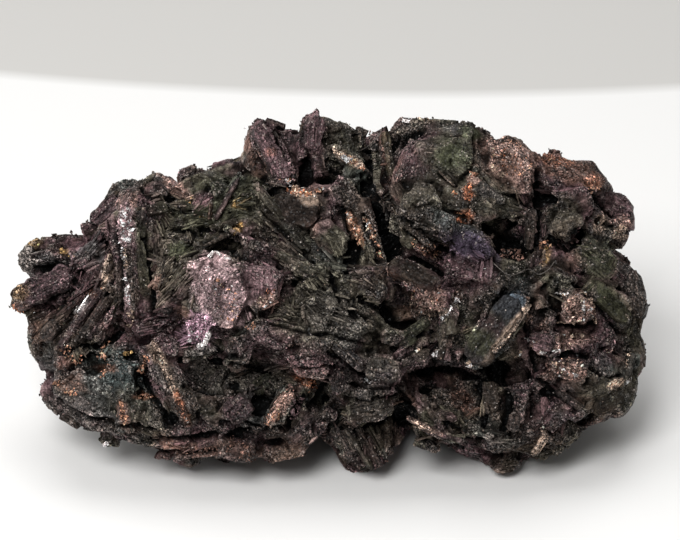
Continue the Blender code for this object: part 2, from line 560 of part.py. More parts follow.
def largest_shell(mesh_data):
    """Drops the sealed gaps and loose chips that the joins leave, and keeps the outer surface."""
    mesh_data.verts.ensure_lookup_table()
    unseen = set(mesh_data.verts)
    shells = []
    while unseen:
        stack = [unseen.pop()]
        shell = set(stack)
        while stack:
            for edge in stack.pop().link_edges:
                for vertex in edge.verts:
                    if vertex in unseen:
                        unseen.discard(vertex)
                        shell.add(vertex)
                        stack.append(vertex)
        shells.append(shell)
    shells.sort(key=len)
    for shell in shells[:-1]:
        bmesh.ops.delete(mesh_data, geom=list(shell), context="VERTS")


def rest_on_origin(mesh):
    """Puts the middle of the underside of the bounding box at the origin."""
    corners = [vertex.co for vertex in mesh.vertices]
    low = Vector(min(corner[i] for corner in corners) for i in range(3))
    high = Vector(max(corner[i] for corner in corners) for i in range(3))
    middle = (low + high) / 2
    mesh.transform(Matrix.Translation((-middle.x, -middle.y, -low.z)))


def turgite_material():
    made = bpy.data.materials.new("turgite")
    made.use_nodes = True
    shader = made.node_tree.nodes["Principled BSDF"]
    shader.inputs["Base Color"].default_value = (0.052, 0.042, 0.040, 1)
    shader.inputs["Roughness"].default_value = 0.55
    shader.inputs["Metallic"].default_value = 0.1
    return made


def build_specimen():
    lumps = helper_collection("lumps")
    hollows = helper_collection("hollows")
    crystals = helper_collection("crystals")
    for region, forms in LUMPS.items():
        for index, (u, v, h, *radii) in enumerate(forms):
            lump(f"lump_{region}_{index}", (u, v, h), radii, 0, lumps)
    for index, (u, v, h, along_u, along_v, along_h, turn) in enumerate(HOLLOWS):
        lump(f"hollow_{index}", (u, v, h), (along_u, along_v, along_h), turn, hollows)
    place_crystals(crystals)
    place_bundles(lumps, crystals)

    base = lumps.objects["lump_heart_1"]
    lumps.objects.unlink(base)
    parts = bpy.data.collections.new(NAME)
    bpy.context.scene.collection.children.link(parts)
    parts.objects.link(base)
    add_boolean(base, "UNION", lumps)
    add_boolean(base, "DIFFERENCE", hollows)
    add_remesh(base, MASS_GRAIN)
    add_thinning(base, MASS_KEPT)
    add_boolean(base, "UNION", crystals)
    add_thinning(base, WHOLE_KEPT)

    graph = bpy.context.evaluated_depsgraph_get()
    joined = bmesh.new()
    joined.from_mesh(bpy.data.meshes.new_from_object(base.evaluated_get(graph)))
    largest_shell(joined)
    trim_feet(joined)
    specimen = keep_as_object(joined, NAME, Matrix.Identity(4), parts)
    rest_on_origin(specimen.data)
    specimen.data.materials.clear()
    specimen.data.materials.append(turgite_material())
    bpy.data.objects.remove(base)


clear_scene()
build_specimen()
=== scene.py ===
"""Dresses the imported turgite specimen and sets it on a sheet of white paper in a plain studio.

Turgite is iron oxide: brown-black crumbly lumps with bladed crystals and patches of iridescence.
The solid's skin is remeshed and given fine relief, and the main crystals, broken blocks, felted
laths, grains, coloured crusts and stray fibres are laid on it. Shapes are worked out in face
coordinates, in millimetres: u to the right, v up the show face and h out of it.
"""

import math

import bpy
import numpy as np
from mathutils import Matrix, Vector, kdtree, noise
from mathutils.bvhtree import BVHTree


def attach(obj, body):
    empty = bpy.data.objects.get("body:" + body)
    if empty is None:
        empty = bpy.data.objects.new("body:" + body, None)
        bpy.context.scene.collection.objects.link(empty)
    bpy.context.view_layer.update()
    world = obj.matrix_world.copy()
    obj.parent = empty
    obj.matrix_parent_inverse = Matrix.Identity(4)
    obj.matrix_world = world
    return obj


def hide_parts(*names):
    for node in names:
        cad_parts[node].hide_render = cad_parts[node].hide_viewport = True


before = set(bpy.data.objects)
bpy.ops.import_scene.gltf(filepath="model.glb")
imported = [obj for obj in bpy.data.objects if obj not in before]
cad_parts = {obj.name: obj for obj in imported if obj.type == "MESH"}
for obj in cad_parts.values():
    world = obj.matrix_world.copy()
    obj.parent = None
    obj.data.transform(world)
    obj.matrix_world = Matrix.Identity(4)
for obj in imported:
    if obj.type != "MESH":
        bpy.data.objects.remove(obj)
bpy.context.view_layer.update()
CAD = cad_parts["turgite_specimen"]

MM = 0.001
FACE_ORIGIN = np.array((-0.29, -7.375, 22.1))  # mm, the face's middle in the row frame
FACE_RISE = math.radians(30)  # how far the show face looks up
SINE, COSINE = math.sin(FACE_RISE), math.cos(FACE_RISE)
FACE_AXES = np.array([(1, 0, 0), (0, SINE, COSINE), (0, -COSINE, SINE)])
FACE_BACK = -9  # mm, what lies further back than this belongs to the back
IN_FRONT = 60  # mm, a height in front of all the specimen

# ------------------------ the surface


def to_face(points):
    """Points in mm from the row frame to face coordinates."""
    return (np.asarray(points, float) - FACE_ORIGIN) @ FACE_AXES.T


def to_row(points):
    """Points in mm from face coordinates to the row frame."""
    return np.asarray(points, float) @ FACE_AXES + FACE_ORIGIN


def unit(vectors):
    return vectors / np.maximum(np.linalg.norm(vectors, axis=-1, keepdims=True), 1e-9)


def along_axes(local, x, y, z):
    """Each crystal's points, turned from its own axes to the face's: (crystals, points, 3)."""
    return local[..., 0:1] * x[:, None] + local[..., 1:2] * y[:, None] + local[..., 2:3] * z[:, None]


def numbers(items, field, width, kind=np.float32):
    """One field of each item of a mesh, as rows of that width."""
    values = np.empty(len(items) * width, kind)
    items.foreach_get(field, values)
    return values.reshape(-1, width)


def mesh_triangles(mesh):
    mesh.calc_loop_triangles()
    return numbers(mesh.loop_triangles, "vertices", 3, np.int32)


class Surface:
    """The CAD solid's skin in face coordinates, to look up and to scatter on."""

    def __init__(self, mesh):
        self.points = to_face(numbers(mesh.vertices, "co", 3) / MM)
        self.triangles = mesh_triangles(mesh)
        self.tree = BVHTree.FromPolygons(self.points.tolist(), self.triangles.tolist())
        a, b, c = (self.points[self.triangles[:, i]] for i in range(3))
        cross = np.cross(b - a, c - a)
        self.normals = unit(cross)
        self.areas = np.linalg.norm(cross, axis=1) / 2

    def scatter(self, count, rng):
        """Points spread evenly by area: (points, outward normals)."""
        chosen = rng.choice(len(self.areas), count, p=self.areas / self.areas.sum())
        r1, r2 = np.sqrt(rng.random(count)), rng.random(count)
        a, b, c = (self.points[self.triangles[chosen, i]] for i in range(3))
        spots = (1 - r1)[:, None] * a + (r1 * (1 - r2))[:, None] * b + (r1 * r2)[:, None] * c
        return spots, self.normals[chosen]

    def seen(self, u, v):
        """The foremost point at that place of the face, or None beside the outline."""
        return self.tree.ray_cast(Vector((u, v, IN_FRONT)), Vector((0, 0, -1)))[0]

    def front(self, u, v):
        """The foremost point at that place of the face, at height 0 beside the outline."""
        return self.seen(u, v) or Vector((u, v, 0))


SKIN = Surface(CAD.data)


def noise_field(points, scale, shift=0.0):
    """Smooth noise, about -1 to 1: scale in waves per mm, and another pattern for each shift."""
    scaled = (points * scale + (shift, 0, 0)).tolist()
    return np.array([noise.noise(point) for point in scaled])


def reach(points, u, v, along, across, turn):
    """How far each point is from the middle of an ellipse on the face, in its radii."""
    angle = math.radians(turn)
    du, dv = points[:, 0] - u, points[:, 1] - v
    x = (du * math.cos(angle) + dv * math.sin(angle)) / along
    y = (dv * math.cos(angle) - du * math.sin(angle)) / across
    return np.hypot(x, y)


# ------------------------ the colours

# name: (sRGB colour as lit, share of pale flecks)
PALETTE = {
    "olive": ((56, 53, 45), 0.2), "plum": ((64, 48, 50), 0.3), "umber": ((50, 42, 37), 0.28),
    "black": ((30, 27, 27), 0.1), "lilac": ((128, 107, 108), 0.22), "magenta": ((152, 122, 134), 0.35),
    "mauve": ((94, 74, 76), 0.24), "pink": ((134, 107, 98), 0.42), "cream": ((172, 149, 132), 0.6),
    # white is used for white crystals and grains, some of them placed as painted glints off facets.
    "white": ((222, 214, 212), 0.4), "orange": ((164, 104, 76), 0.5), "peach": ((174, 128, 104), 0.5),
    "rust": ((96, 72, 63), 0.4), "ochre": ((142, 114, 74), 0.45), "teal": ((55, 62, 61), 0.35),
    "green": ((56, 58, 44), 0.14), "slate": ((44, 49, 54), 0.12), "indigo": ((50, 43, 54), 0.14),
    "grey": ((84, 79, 75), 0.55), "soot": ((36, 30, 27), 0.11),
}
DARKEST = 0.002  # no colour falls below this
BRIGHTEST = 0.85  # no crystal or coloured grain rises above this
GROUND_FLECK = (0.10, 0.55)  # share of pale flecks between the patches, from and to
PATCH_FLECK = 0.7  # how far a patch has its own share of them

# Patches of colour on the face: (colour, u, v, radius along, radius across, turn, strength).
PATCHES = [
    # broad tones first
    ("olive", -18, 6, 8, 8, 20, 0.8), ("green", -16, 12, 7, 4, 20, 0.7),
    ("soot", -17, 11.5, 8, 4.5, 20, 0.4), ("umber", -35, -2, 8, 5, 50, 0.7),
    ("plum", -38, 1, 6, 3.5, 24, 0.9), ("plum", -25, -5, 8, 3, -10, 0.7),
    ("teal", -29, -12.5, 6, 4.5, 0, 0.9), ("grey", -34, -15, 5, 4, -30, 0.5),
    ("olive", -26, -16, 5, 3, -20, 0.8), ("plum", -5, -8, 8, 3, -10, 0.8),
    ("olive", 0, -2, 9, 6, -15, 0.9), ("grey", 1.5, -3.5, 5, 3, -15, 0.35),
    ("plum", -9, 1.5, 3.5, 4, 80, 0.8), ("olive", -6, 8, 7, 3.5, -50, 0.7),
    ("soot", -4, 11.5, 5, 2.4, 5, 1), ("plum", -7, 20, 6, 3.5, -64, 0.8),
    ("plum", -2, 21.5, 4.5, 2.6, 84, 0.8), ("olive", 1.5, 21, 2.6, 4, 20, 0.7),
    ("plum", 12.5, 18, 5, 3, 66, 0.8), ("olive", 17.5, 18.5, 5, 3.8, -30, 0.9),
    ("olive", 13, 13.5, 4, 3, 0, 0.8), ("umber", 13.5, 9, 5, 2.5, -24, 0.7),
    ("pink", 25, 18, 4.5, 3.4, -45, 0.7), ("olive", 22.5, 13, 4, 3, -30, 0.7),
    ("teal", 17.5, 9.2, 4, 1.6, -25, 0.6), ("indigo", 19.5, 6.2, 4.6, 2.4, -25, 0.9),
    ("plum", 19.5, 2.5, 4, 2.6, -12, 0.8), ("rust", 33, 17.3, 4.5, 2.2, -16, 0.8),
    ("plum", 40.5, 11.8, 3.4, 2.4, -30, 0.8), ("olive", 32.5, 9.5, 3.4, 3.4, 10, 0.8),
    ("green", 37.5, 5, 3.4, 2.6, -34, 0.8), ("green", 39.5, -1.5, 5, 2.2, -41, 0.7),
    ("umber", 43, -1, 2.4, 4.5, 0, 0.7), ("plum", 38.5, -7, 3, 3, 0, 0.7),
    ("olive", 39, -15, 4.5, 3, 16, 0.7), ("umber", 27, -20, 7, 3, 0, 0.6),
    ("rust", -20, -22, 7, 1.4, 4, 0.3), ("rust", -11.5, -22, 4, 1.6, -10, 0.3),
    ("rust", -6.4, -22.2, 3.6, 1.5, 12, 0.4), ("umber", -14, -22.3, 9, 1.6, 2, 0.6),
    ("grey", -9.5, -12, 3.4, 2, 36, 0.4), ("grey", -17, -11.6, 3.2, 2.6, -34, 0.4),
    ("grey", 6, -12, 4.4, 3.4, -6, 0.4), ("olive", 6, -16, 4, 2.4, 14, 0.6),
    # the lilac field and what lies round it
    ("lilac", -15.2, 0.6, 3.6, 4.8, 12, 1), ("lilac", -12.8, -2.2, 2, 3, 0, 0.9),
    ("mauve", -9.2, 2, 2.3, 2.8, 0, 0.9), ("magenta", -17.8, -5.2, 2.4, 2.2, -20, 1),
    ("pink", -8, -1.2, 1.6, 1.2, 0, 0.7), ("grey", -17, -8.4, 3, 0.9, 8, 0.8),
    ("mauve", -22.4, -7.4, 2.2, 1.2, -18, 0.8),
    # left
    ("grey", -42, 5, 1.8, 2.4, 0, 0.7), ("ochre", -41.2, 6.9, 1, 0.6, 0, 0.4),
    # The black patch at (-39, 3.3) is painted shade in the hole there.
    ("ochre", -37, 5.7, 0.8, 0.5, 0, 0.4), ("black", -39, 3.3, 2.2, 1, 5, 1),
    ("ochre", -43.4, -0.2, 1.8, 1.3, 24, 0.3), ("rust", -43.2, -2.2, 1.4, 0.9, 0, 0.9),
    ("white", -33.9, -1.8, 1.8, 0.4, 35, 0.9), ("orange", -32.5, -0.2, 0.9, 0.7, 0, 0.4),
    ("cream", -30.6, 3, 3, 0.5, 78, 0.9), ("mauve", -31.2, 11.4, 3.2, 1.2, 45, 0.8),
    ("pink", -27.9, 12.8, 1.5, 1.4, 0, 0.8), ("lilac", -27.8, 9, 3.4, 1.1, 92, 1),
    ("umber", -27.5, 1.8, 5.4, 1.2, 97, 0.9), ("lilac", -27.8, 0.2, 3.2, 0.45, 98, 0.9),
    ("green", -25.4, 4.6, 7, 1, 95, 0.6), ("pink", -21.2, 14.6, 2.6, 0.9, -38, 0.8),
    ("green", -20.6, 6, 1.6, 1.2, 0, 0.7), ("plum", -17.5, 13, 1.4, 1.2, 0, 0.9),
    ("ochre", -12.4, 9, 0.9, 0.8, 0, 0.4), ("ochre", -12.7, 12, 0.7, 0.6, 0, 0.4),
    # lower left
    ("peach", -36.2, -13.2, 1.6, 0.9, -30, 0.12), ("orange", -34.6, -12.6, 1.8, 0.7, -40, 0.12),
    ("orange", -30.7, -10.5, 2.2, 0.6, 0, 0.3), ("orange", -25.2, -10.4, 1, 0.7, 0, 0.4),
    ("orange", -25, -14.3, 2, 0.4, 0, 0.3), ("pink", -28.2, -17, 0.8, 2.4, 10, 0.8),
    ("cream", -23.5, -8.6, 2.4, 0.8, -60, 0.8), ("cream", -22, -11.8, 2.6, 0.5, -66, 0.5),
    ("orange", -20, -16, 2.6, 0.6, -68, 0.3), ("mauve", -23.8, -12, 3.4, 0.8, -70, 0.8),
    ("pink", -6.6, -15.8, 3, 1, 52, 0.9), ("plum", -12.5, -16, 2.2, 2, 0, 0.8),
    ("orange", -3, -12.4, 1.8, 0.6, -20, 0.3),
    # top middle
    ("mauve", -7.7, 19.4, 5, 1.3, -62, 0.9), ("orange", -7.8, 19.4, 0.8, 0.6, 0, 0.3),
    ("mauve", -2, 22.4, 3, 1.4, 84, 0.9), ("cream", 2.8, 18.5, 2.4, 0.6, -28, 0.9),
    ("cream", -3, 13.1, 1.6, 1, -30, 0.9), ("peach", 3.8, 8.9, 2.2, 0.7, -64, 0.4),
    # The black patch at (3.3, 5) is painted shade in the hole there.
    ("umber", 6.1, 8.3, 2.4, 0.8, -62, 0.6), ("black", 3.3, 5, 1.2, 2.4, 0, 0.8),
    # the dome
    ("green", 17.3, 19, 2.4, 2.2, 0, 0.8), ("green", 19.6, 22.2, 2, 1, -10, 0.8),
    ("orange", 19.2, 13.6, 0.8, 1.1, 0, 0.5), ("orange", 18.9, 10.4, 1.3, 1, 0, 0.5),
    ("pink", 20, 15.4, 0.8, 0.8, 0, 0.7), ("pink", 24.4, 20, 2.6, 1.2, -20, 0.7),
    ("orange", 13.6, 5.6, 1.8, 0.6, -30, 0.2),
    # right
    ("orange", 31.8, 18.3, 2.6, 0.8, -10, 0.3), ("orange", 37.4, 15.8, 1.2, 1, 0, 0.3),
    ("pink", 41.4, 9.8, 1.4, 0.9, 0, 0.7), ("cream", 41, 8, 1.2, 0.8, 0, 0.8),
    ("ochre", 30.2, 5.2, 1.6, 0.6, 80, 0.3), ("cream", 38, 9.6, 0.9, 1.6, -40, 0.5),
    ("pink", 34.4, -2, 2.6, 2.1, 0, 0.7), ("pink", 33.6, -6.6, 3, 1.2, 5, 0.6),
    ("pink", 33.4, -11, 2.2, 1.4, -12, 0.6), ("mauve", 29.3, -6.8, 2.2, 1.5, -16, 0.8),
    ("cream", 40, -12.7, 1.2, 0.6, 20, 0.8), ("pink", 13.8, -1, 2.2, 2, -14, 0.7),
    ("olive", 15.6, -6, 2.4, 1, 82, 0.8), ("rust", 9.6, 2.2, 2.6, 0.5, -24, 0.7),
    ("olive", 12, 2.6, 3.4, 1.6, -27, 0.7), ("slate", 25, -1.6, 3, 2.6, 52, 1),
    ("plum", 22.4, -4.6, 1.6, 2.4, 52, 0.7), ("green", 21, -7, 2, 2.2, 52, 0.9),
    ("cream", 24.4, -5.8, 5.4, 0.7, 52, 0.9), ("rust", 19, -15.2, 2.6, 1.4, -46, 0.6),
    ("cream", 13.2, -18.6, 2.2, 0.5, -28, 0.8), ("umber", 22.9, -15.4, 3, 1.2, 98, 0.8),
    ("cream", 29.6, -20.8, 1.6, 0.6, 56, 0.8),
]
PATCH_EDGE = 0.3  # how ragged a patch's edge is, in patch radii
PATCH_FRONT = -0.25  # a patch shows where the surface faces further to the front than this


def albedo(name):
    """The palette's colour as linear light."""
    return ((np.array(PALETTE[name][0]) / 255 + 0.055) / 1.055) ** 2.4


def patch_weight(points, normals, ragged, ellipse, strength):
    inside = np.clip((1.2 - reach(points, *ellipse) + PATCH_EDGE * ragged) / 0.5, 0, 1)
    facing = np.clip((normals[:, 2] - PATCH_FRONT) * 4, 0, 1) * (points[:, 2] > FACE_BACK)
    return strength * inside * facing


def ground_colour(points, middling):
    """The broad tones of the whole surface, by noise."""
    broad = noise_field(points, 0.11, 31)
    blend = np.clip(0.45 + 1.5 * broad + 0.8 * middling, 0, 1)[:, None]
    colour = blend * albedo("olive") + (1 - blend) * albedo("plum")
    umber = np.clip(1.6 * noise_field(points, 0.2, 90) + 0.1, 0, 0.8)[:, None]
    colour = umber * albedo("umber") + (1 - umber) * colour
    for name, shift in (("mauve", 211), ("rust", 307), ("teal", 401)):
        patch = np.clip(4 * (noise_field(points, 0.16, shift) - 0.34), 0, 0.5)[:, None]
        colour = patch * albedo(name) + (1 - patch) * colour
    return colour


def paint(points, normals):
    """Colour and fleck share at each point: broad tones, then the face's patches."""
    middling = noise_field(points, 0.42, 7)
    fine = noise_field(points, 1.3, 53)
    colour = ground_colour(points, middling)
    crumbly = noise_field(points, 0.24, 151) + 0.5 * noise_field(points, 0.6, 167)
    fleck = np.clip(0.28 + 0.9 * crumbly, *GROUND_FLECK)
    for name, *ellipse, strength in PATCHES:
        weight = patch_weight(points, normals, middling + fine, ellipse, strength)
        colour += weight[:, None] * (albedo(name) - colour)
        fleck += PATCH_FLECK * weight * (PALETTE[name][1] - fleck)
    colour *= (1 + 0.35 * fine + 0.25 * middling)[:, None]
    return np.clip(colour, DARKEST, 1), fleck


# ------------------------ the texture

# Where the laths are felted together: (u, v, radius along, radius across, turn, share).
FELTED = [
    (-20, 6, 7, 8, 10, 1), (-13.5, 12, 6, 4, 10, 0.9), (-6, 8, 8, 3.4, -50, 0.9),
    (-1, -1, 8, 5, -20, 0.6), (3, 4, 5, 4, -40, 0.7), (-35, -2, 5.5, 7, 50, 0.9),
    (-32, 8, 4, 4, 45, 0.6), (-22, -3, 5, 4, 20, 0.8), (4, -21.5, 5, 4.5, 0, 1),
    (14, -19, 6, 4, -20, 0.6), (26, -21, 8, 3, 5, 0.6), (-9, -13, 5, 3, 30, 0.5),
    (-27, -20, 9, 2.6, -15, 0.5), (8.5, 17, 1.8, 8, 0, 0.6), (-6, 20, 7, 5, 70, 0.5),
    (28, 9, 3, 7, 0, 0.4), (38, 4, 5, 5, -35, 0.4), (43, -9, 3, 6, 0, 0.4),
]
# Where it is crusted with nodules, in the same form.
NODULAR = [
    (33, -8, 7, 6, 0, 1), (14.5, -5, 4, 7, 0, 0.9), (40, -10, 5, 6, 0, 0.8), (38, 11, 5, 6, 20, 0.8),
    (29, 4, 7, 4, 0, 0.7), (28, -18, 8, 5, 0, 0.8), (17, -15, 5, 4, 0, 0.7), (6, -13, 6, 5, 0, 0.7),
    (-14, -18, 7, 5, 0, 0.7), (-38, -8, 4, 5, 0, 0.8), (-41, 5, 3, 3, 0, 0.9), (-36, 7, 4, 3, 0, 0.7),
    (-22, 14, 6, 3, 0, 0.6), (0, 22, 4, 4, 0, 0.6), (-18, -22, 9, 3, 0, 0.6), (-34, -13, 5, 3, -20, 0.5),
    (13, 7, 5, 3, -25, 0.6),
]
# Bare facets within them: (u, v, radius along, radius across, turn).
BARE = [
    (11, 18, 2.6, 4, -20), (-15, 0.2, 3.6, 5.4, 10), (-9.4, 1.8, 2.4, 3, 0), (-4.3, 12, 4, 2.4, 5),
    (-7.6, 19.4, 4.8, 1.5, -62), (-2, 21.6, 4, 1.5, 84), (-5, 19.4, 3.2, 1.2, -78),
    (-39.8, 0.8, 5, 2, 24), (-27.8, 5, 7.6, 1.2, 94), (-25.8, 3, 5.6, 1, 96),
    (-31.2, 11.6, 3.4, 1.6, 45), (23.4, -5, 6, 2.8, 53), (11.6, 2.6, 4.2, 1.8, -22),
]
BACK_FELTED = 0.45
BACK_NODULAR = 0.5
BARE_SHARE = 0.05


def inside_place(points, ellipse, soft):
    """1 inside the ellipse and 0 outside it, over an edge that soft."""
    return np.clip((1 + soft / 2 - reach(points, *ellipse)) / soft, 0, 1)


def texture_share(points, normals, places, back_share, shift):
    """How strongly each point has that texture, 0 to 1."""
    share = np.full(len(points), BARE_SHARE)
    for *ellipse, strength in places:
        share = np.maximum(share, strength * inside_place(points, ellipse, 0.4))
    back = back_share * np.clip(1 + 3 * noise_field(points, 0.12, shift), 0, 2)
    behind = np.clip(-normals[:, 2] * 3, 0, 1) + (points[:, 2] < FACE_BACK)
    return np.where(behind > 0.5, np.clip(back, BARE_SHARE, 1), share)


def felted(points, normals):
    share = texture_share(points, normals, FELTED, BACK_FELTED, 620)
    for ellipse in BARE:
        share *= 1 - inside_place(points, ellipse, 0.3) * (points[:, 2] > 0)
    return share


def nodular(points, normals):
    return texture_share(points, normals, NODULAR, BACK_NODULAR, 730)


# ------------------------ the gaps

# Gaps on the face, cut into the mass and darkened black with painted shade: (half width, depth, points
# along it as u, v), in mm.
GAPS = [
    (0.75, 1.9, (8.2, -2.2), (9, -3.6), (10.4, -4.6), (11.8, -4.6)),
    # the main cleft and what runs off it
    (0.95, 3, (5.9, 22.8), (6.2, 20), (6.7, 17), (7.1, 13.6), (8, 10.6), (8.7, 7.6), (9.6, 4.8)),
    (0.35, 0.9, (10, 4.7), (11.8, 4.6), (15.6, 2.6)),
    (0.3, 0.8, (9.6, 21.4), (8.4, 18), (8.2, 14.6), (8.9, 12.2)),
    # the dome
    (0.25, 0.5, (20.2, 21.4), (20.5, 18.4), (19.4, 16.6), (18.3, 15.6)),
    (0.2, 0.35, (12.2, 11.7), (13.4, 11.9), (14.4, 12.3)),
    (0.2, 0.5, (15.4, 16.2), (16.4, 15.2), (17.6, 14.6)),
    (0.22, 0.6, (21, 16.6), (23.4, 13.4), (25.6, 13.4), (27.6, 11.8)),
    (0.3, 0.8, (9.2, 10.6), (12.4, 8.6), (15.4, 6.6), (17.2, 5)),
    (0.25, 0.7, (10.4, 8.4), (13.6, 5.8), (16, 4.2)),
    (0.45, 1.2, (29.3, 17), (29.3, 13.6), (29.2, 10.2), (28.8, 6.8)),
    (0.35, 0.9, (21.4, 9.2), (24, 8.2), (26.6, 10.4)),
    # right
    (0.35, 0.9, (36.4, 14.6), (37.8, 12.6), (39.4, 10.6)), (0.3, 0.8, (38.4, 9.4), (41, 8.8), (43.4, 8)),
    (0.4, 1, (30.4, 7.4), (33, 6.2), (35.2, 7), (36.6, 8.2)),
    (0.3, 0.9, (34.2, 1.2), (36.4, -1), (38.6, -3.2), (40.6, -5.6)),
    (0.25, 0.7, (36.4, 3.4), (39.2, 1.6), (41.4, 0.2)),
    (0.3, 0.8, (31.6, 0.4), (31.8, -2.2), (32, -4.6), (34.4, -4.8), (37, -4.4)),
    (0.25, 0.7, (30.8, -8.8), (33.6, -8.6), (36.6, -8.8)),
    (0.3, 0.9, (27.4, -4), (28, -7.6), (29, -10.4)),
    (0.35, 1, (27.4, -10.8), (30.6, -13.2), (34.2, -16.2)),
    (0.25, 0.7, (36.4, -10.4), (38.6, -12), (41, -11.4)),
    # round the slab
    (0.45, 1.2, (18.6, -9.4), (20.4, -6.4), (22.6, -2.4), (24.6, 0.4)),
    (0.45, 1.2, (21.2, -10.8), (24.4, -8), (27.4, -3.6), (28.4, -1)),
    (0.5, 1.3, (18.8, -11.6), (21.4, -12), (24.4, -12.4), (27.6, -11.2)),
    (0.35, 1, (20.9, -12.6), (20.9, -15.8), (21.8, -19)),
    (0.4, 1, (24.7, -13.8), (24.6, -16.6), (24.2, -19)),
    (0.35, 0.9, (13, -4.4), (14.6, -6.6), (14.8, -9.8)),
    (0.3, 0.8, (9, -7.8), (11.6, -6.2), (13.6, -5.4)), (0.3, 0.8, (9.4, -9.6), (12.4, -8), (14.2, -7.6)),
    (0.4, 1, (11.8, -11.4), (15.6, -10.8), (18.4, -11.2)),
    (0.4, 1, (10.4, -14), (11.6, -16.4), (12.6, -18)),
    (0.35, 0.9, (12.4, -20), (15.6, -21.4), (18.8, -21.8)),
    # centre
    (0.3, 0.8, (0.2, 3.2), (1.2, 0.4), (1.6, -2.2), (0.2, -4.6)),
    (0.35, 0.9, (2.4, -0.6), (4.4, -2.4), (5.6, -3.6)),
    (0.3, 0.8, (3.6, -0.6), (5.8, -1.6), (7.4, -2.6)),
    (0.25, 0.7, (-6.8, 3.6), (-3.6, 1.6), (-0.4, 0.6)),
    (0.22, 0.6, (-8, -4.2), (-3.6, -5.4), (0.6, -5.8), (5.2, -7.2)),
    (0.3, 0.8, (0.2, -8.2), (3.4, -10.6), (5.2, -11.6)),
    (0.3, 0.8, (9.4, -8.6), (9.2, -11.6), (10.2, -14)),
    (0.25, 0.7, (3.2, -12.6), (6.6, -13.2), (10, -12.8)),
    (0.25, 0.7, (2.4, -14.6), (5.6, -14.9), (9.4, -14.2)),
    (0.35, 1, (0.4, -18.6), (3.6, -18.9), (7.4, -18.2), (9.6, -17.4)),
    # top middle
    (0.4, 1.1, (-8.4, 13.6), (-5.6, 14.6), (-2.6, 15.4), (0.4, 15.6)),
    (0.35, 1, (-9.2, 16), (-7.4, 13.6), (-7, 11.4)), (0.35, 1, (-5.4, 15.6), (-6.4, 18.4), (-7.2, 22.6)),
    (0.4, 1.2, (-3.4, 16), (-3.4, 19.6), (-3.9, 23.4)),
    (0.3, 0.9, (-10.2, 22.6), (-9.6, 19.4), (-8.2, 16.6)),
    (0.3, 0.9, (-0.8, 25.2), (-0.7, 21.8), (0.4, 19.2)),
    (0.25, 0.8, (0.6, 17), (2.6, 16.2), (4.8, 16.2)), (0.3, 0.8, (2.2, 11.6), (2.6, 9.2), (4, 6.8)),
    (0.3, 0.8, (4.9, 10.6), (5.6, 8.2), (7.2, 5.6)), (0.3, 0.8, (-7.6, 9.6), (-4.6, 7), (-2, 4.2)),
    (0.25, 0.7, (-10, 12.6), (-7.4, 9), (-4.6, 5.4)),
    # upper left
    (0.35, 1, (-17.6, 9), (-15, 8.2), (-12.4, 7.2)),
    (0.3, 0.9, (-18.8, 4.6), (-16, 6), (-13.2, 6), (-10.6, 4.4)),
    (0.3, 0.8, (-21.6, 8.6), (-19, 8.6), (-17.4, 7.8)),
    (0.3, 0.8, (-21.4, 4.4), (-19.2, 6.6), (-18.6, 7.8)),
    (0.35, 0.9, (-22, 12.6), (-20.4, 11.2), (-18.4, 11.4)),
    (0.45, 1.2, (-25.9, 10.4), (-25, 6.4), (-24.6, 1.8), (-24.4, -2.4)),
    (0.3, 0.8, (-29.5, 10), (-29.1, 6.2), (-28.6, 2), (-28.7, -2.6)),
    (0.3, 0.8, (-26.2, 14.6), (-24.6, 13.2), (-21.6, 13)),
    (0.3, 0.8, (-31.4, 7.8), (-30, 4.8), (-29.8, 1.2)),
    # left
    (0.45, 1.2, (-41, 3.2), (-38.8, 3.5), (-36.6, 4.4)),
    (0.35, 0.9, (-42.6, -3), (-39.4, -1.6), (-36.4, 0.2), (-34.6, 2.6)),
    (0.35, 1, (-39, -4.4), (-37.4, -2.2), (-35.4, 0.2)),
    (0.3, 0.9, (-36.7, -6.9), (-34.2, -3), (-31.9, 0.8)),
    (0.3, 0.9, (-34.9, -7.3), (-32.9, -3.8), (-30.4, 0)),
    (0.3, 0.9, (-33.2, -7), (-31.4, -3.6), (-29.6, -0.8)),
    (0.35, 1, (-37.4, -8.4), (-34.6, -7.8), (-31, -7.4), (-28.6, -5.6)),
    # lower left
    (0.4, 1.1, (-35.6, -10.4), (-33.4, -9), (-30.6, -8.6)),
    (0.4, 1.1, (-37.4, -15.2), (-35.2, -16.8), (-32.8, -17.8), (-30, -18)),
    (0.4, 1.1, (-25.9, -9), (-24.9, -11.4), (-24.4, -14), (-22.6, -17)),
    (0.35, 0.9, (-29.2, -18.6), (-26.6, -18.4), (-24.2, -19.2)),
    (0.35, 0.9, (-25.6, -20.6), (-22.4, -20.4), (-18.6, -20.2), (-15.6, -19.6)),
    (0.3, 0.8, (-24, -22.2), (-19.6, -22.2), (-15.6, -21.8)),
    (0.35, 0.9, (-20.4, -9.4), (-17.6, -9.2), (-14.4, -8.6), (-12.4, -8.8)),
    (0.3, 0.8, (-19.6, -12.8), (-16.6, -13.8), (-14.4, -13.6)),
    (0.3, 0.8, (-14.6, -12.2), (-13.2, -9.8), (-10.6, -10.4), (-7.4, -11.4)),
    (0.35, 0.9, (-14.6, -18.2), (-11.4, -18), (-8.6, -19), (-5, -18.6)),
    (0.35, 0.9, (-10.6, -13.6), (-8.2, -14.2), (-6.2, -13.4), (-4.6, -13.2)),
    (0.35, 0.9, (-5.4, -18), (-4.4, -15.8), (-3, -13.8)),
    (0.3, 0.8, (-2.6, -16.8), (-1.4, -14.4), (-0.4, -12.6)),
    (0.25, 0.7, (-4.2, -10.6), (-1.6, -10), (0.8, -10.2)),
]
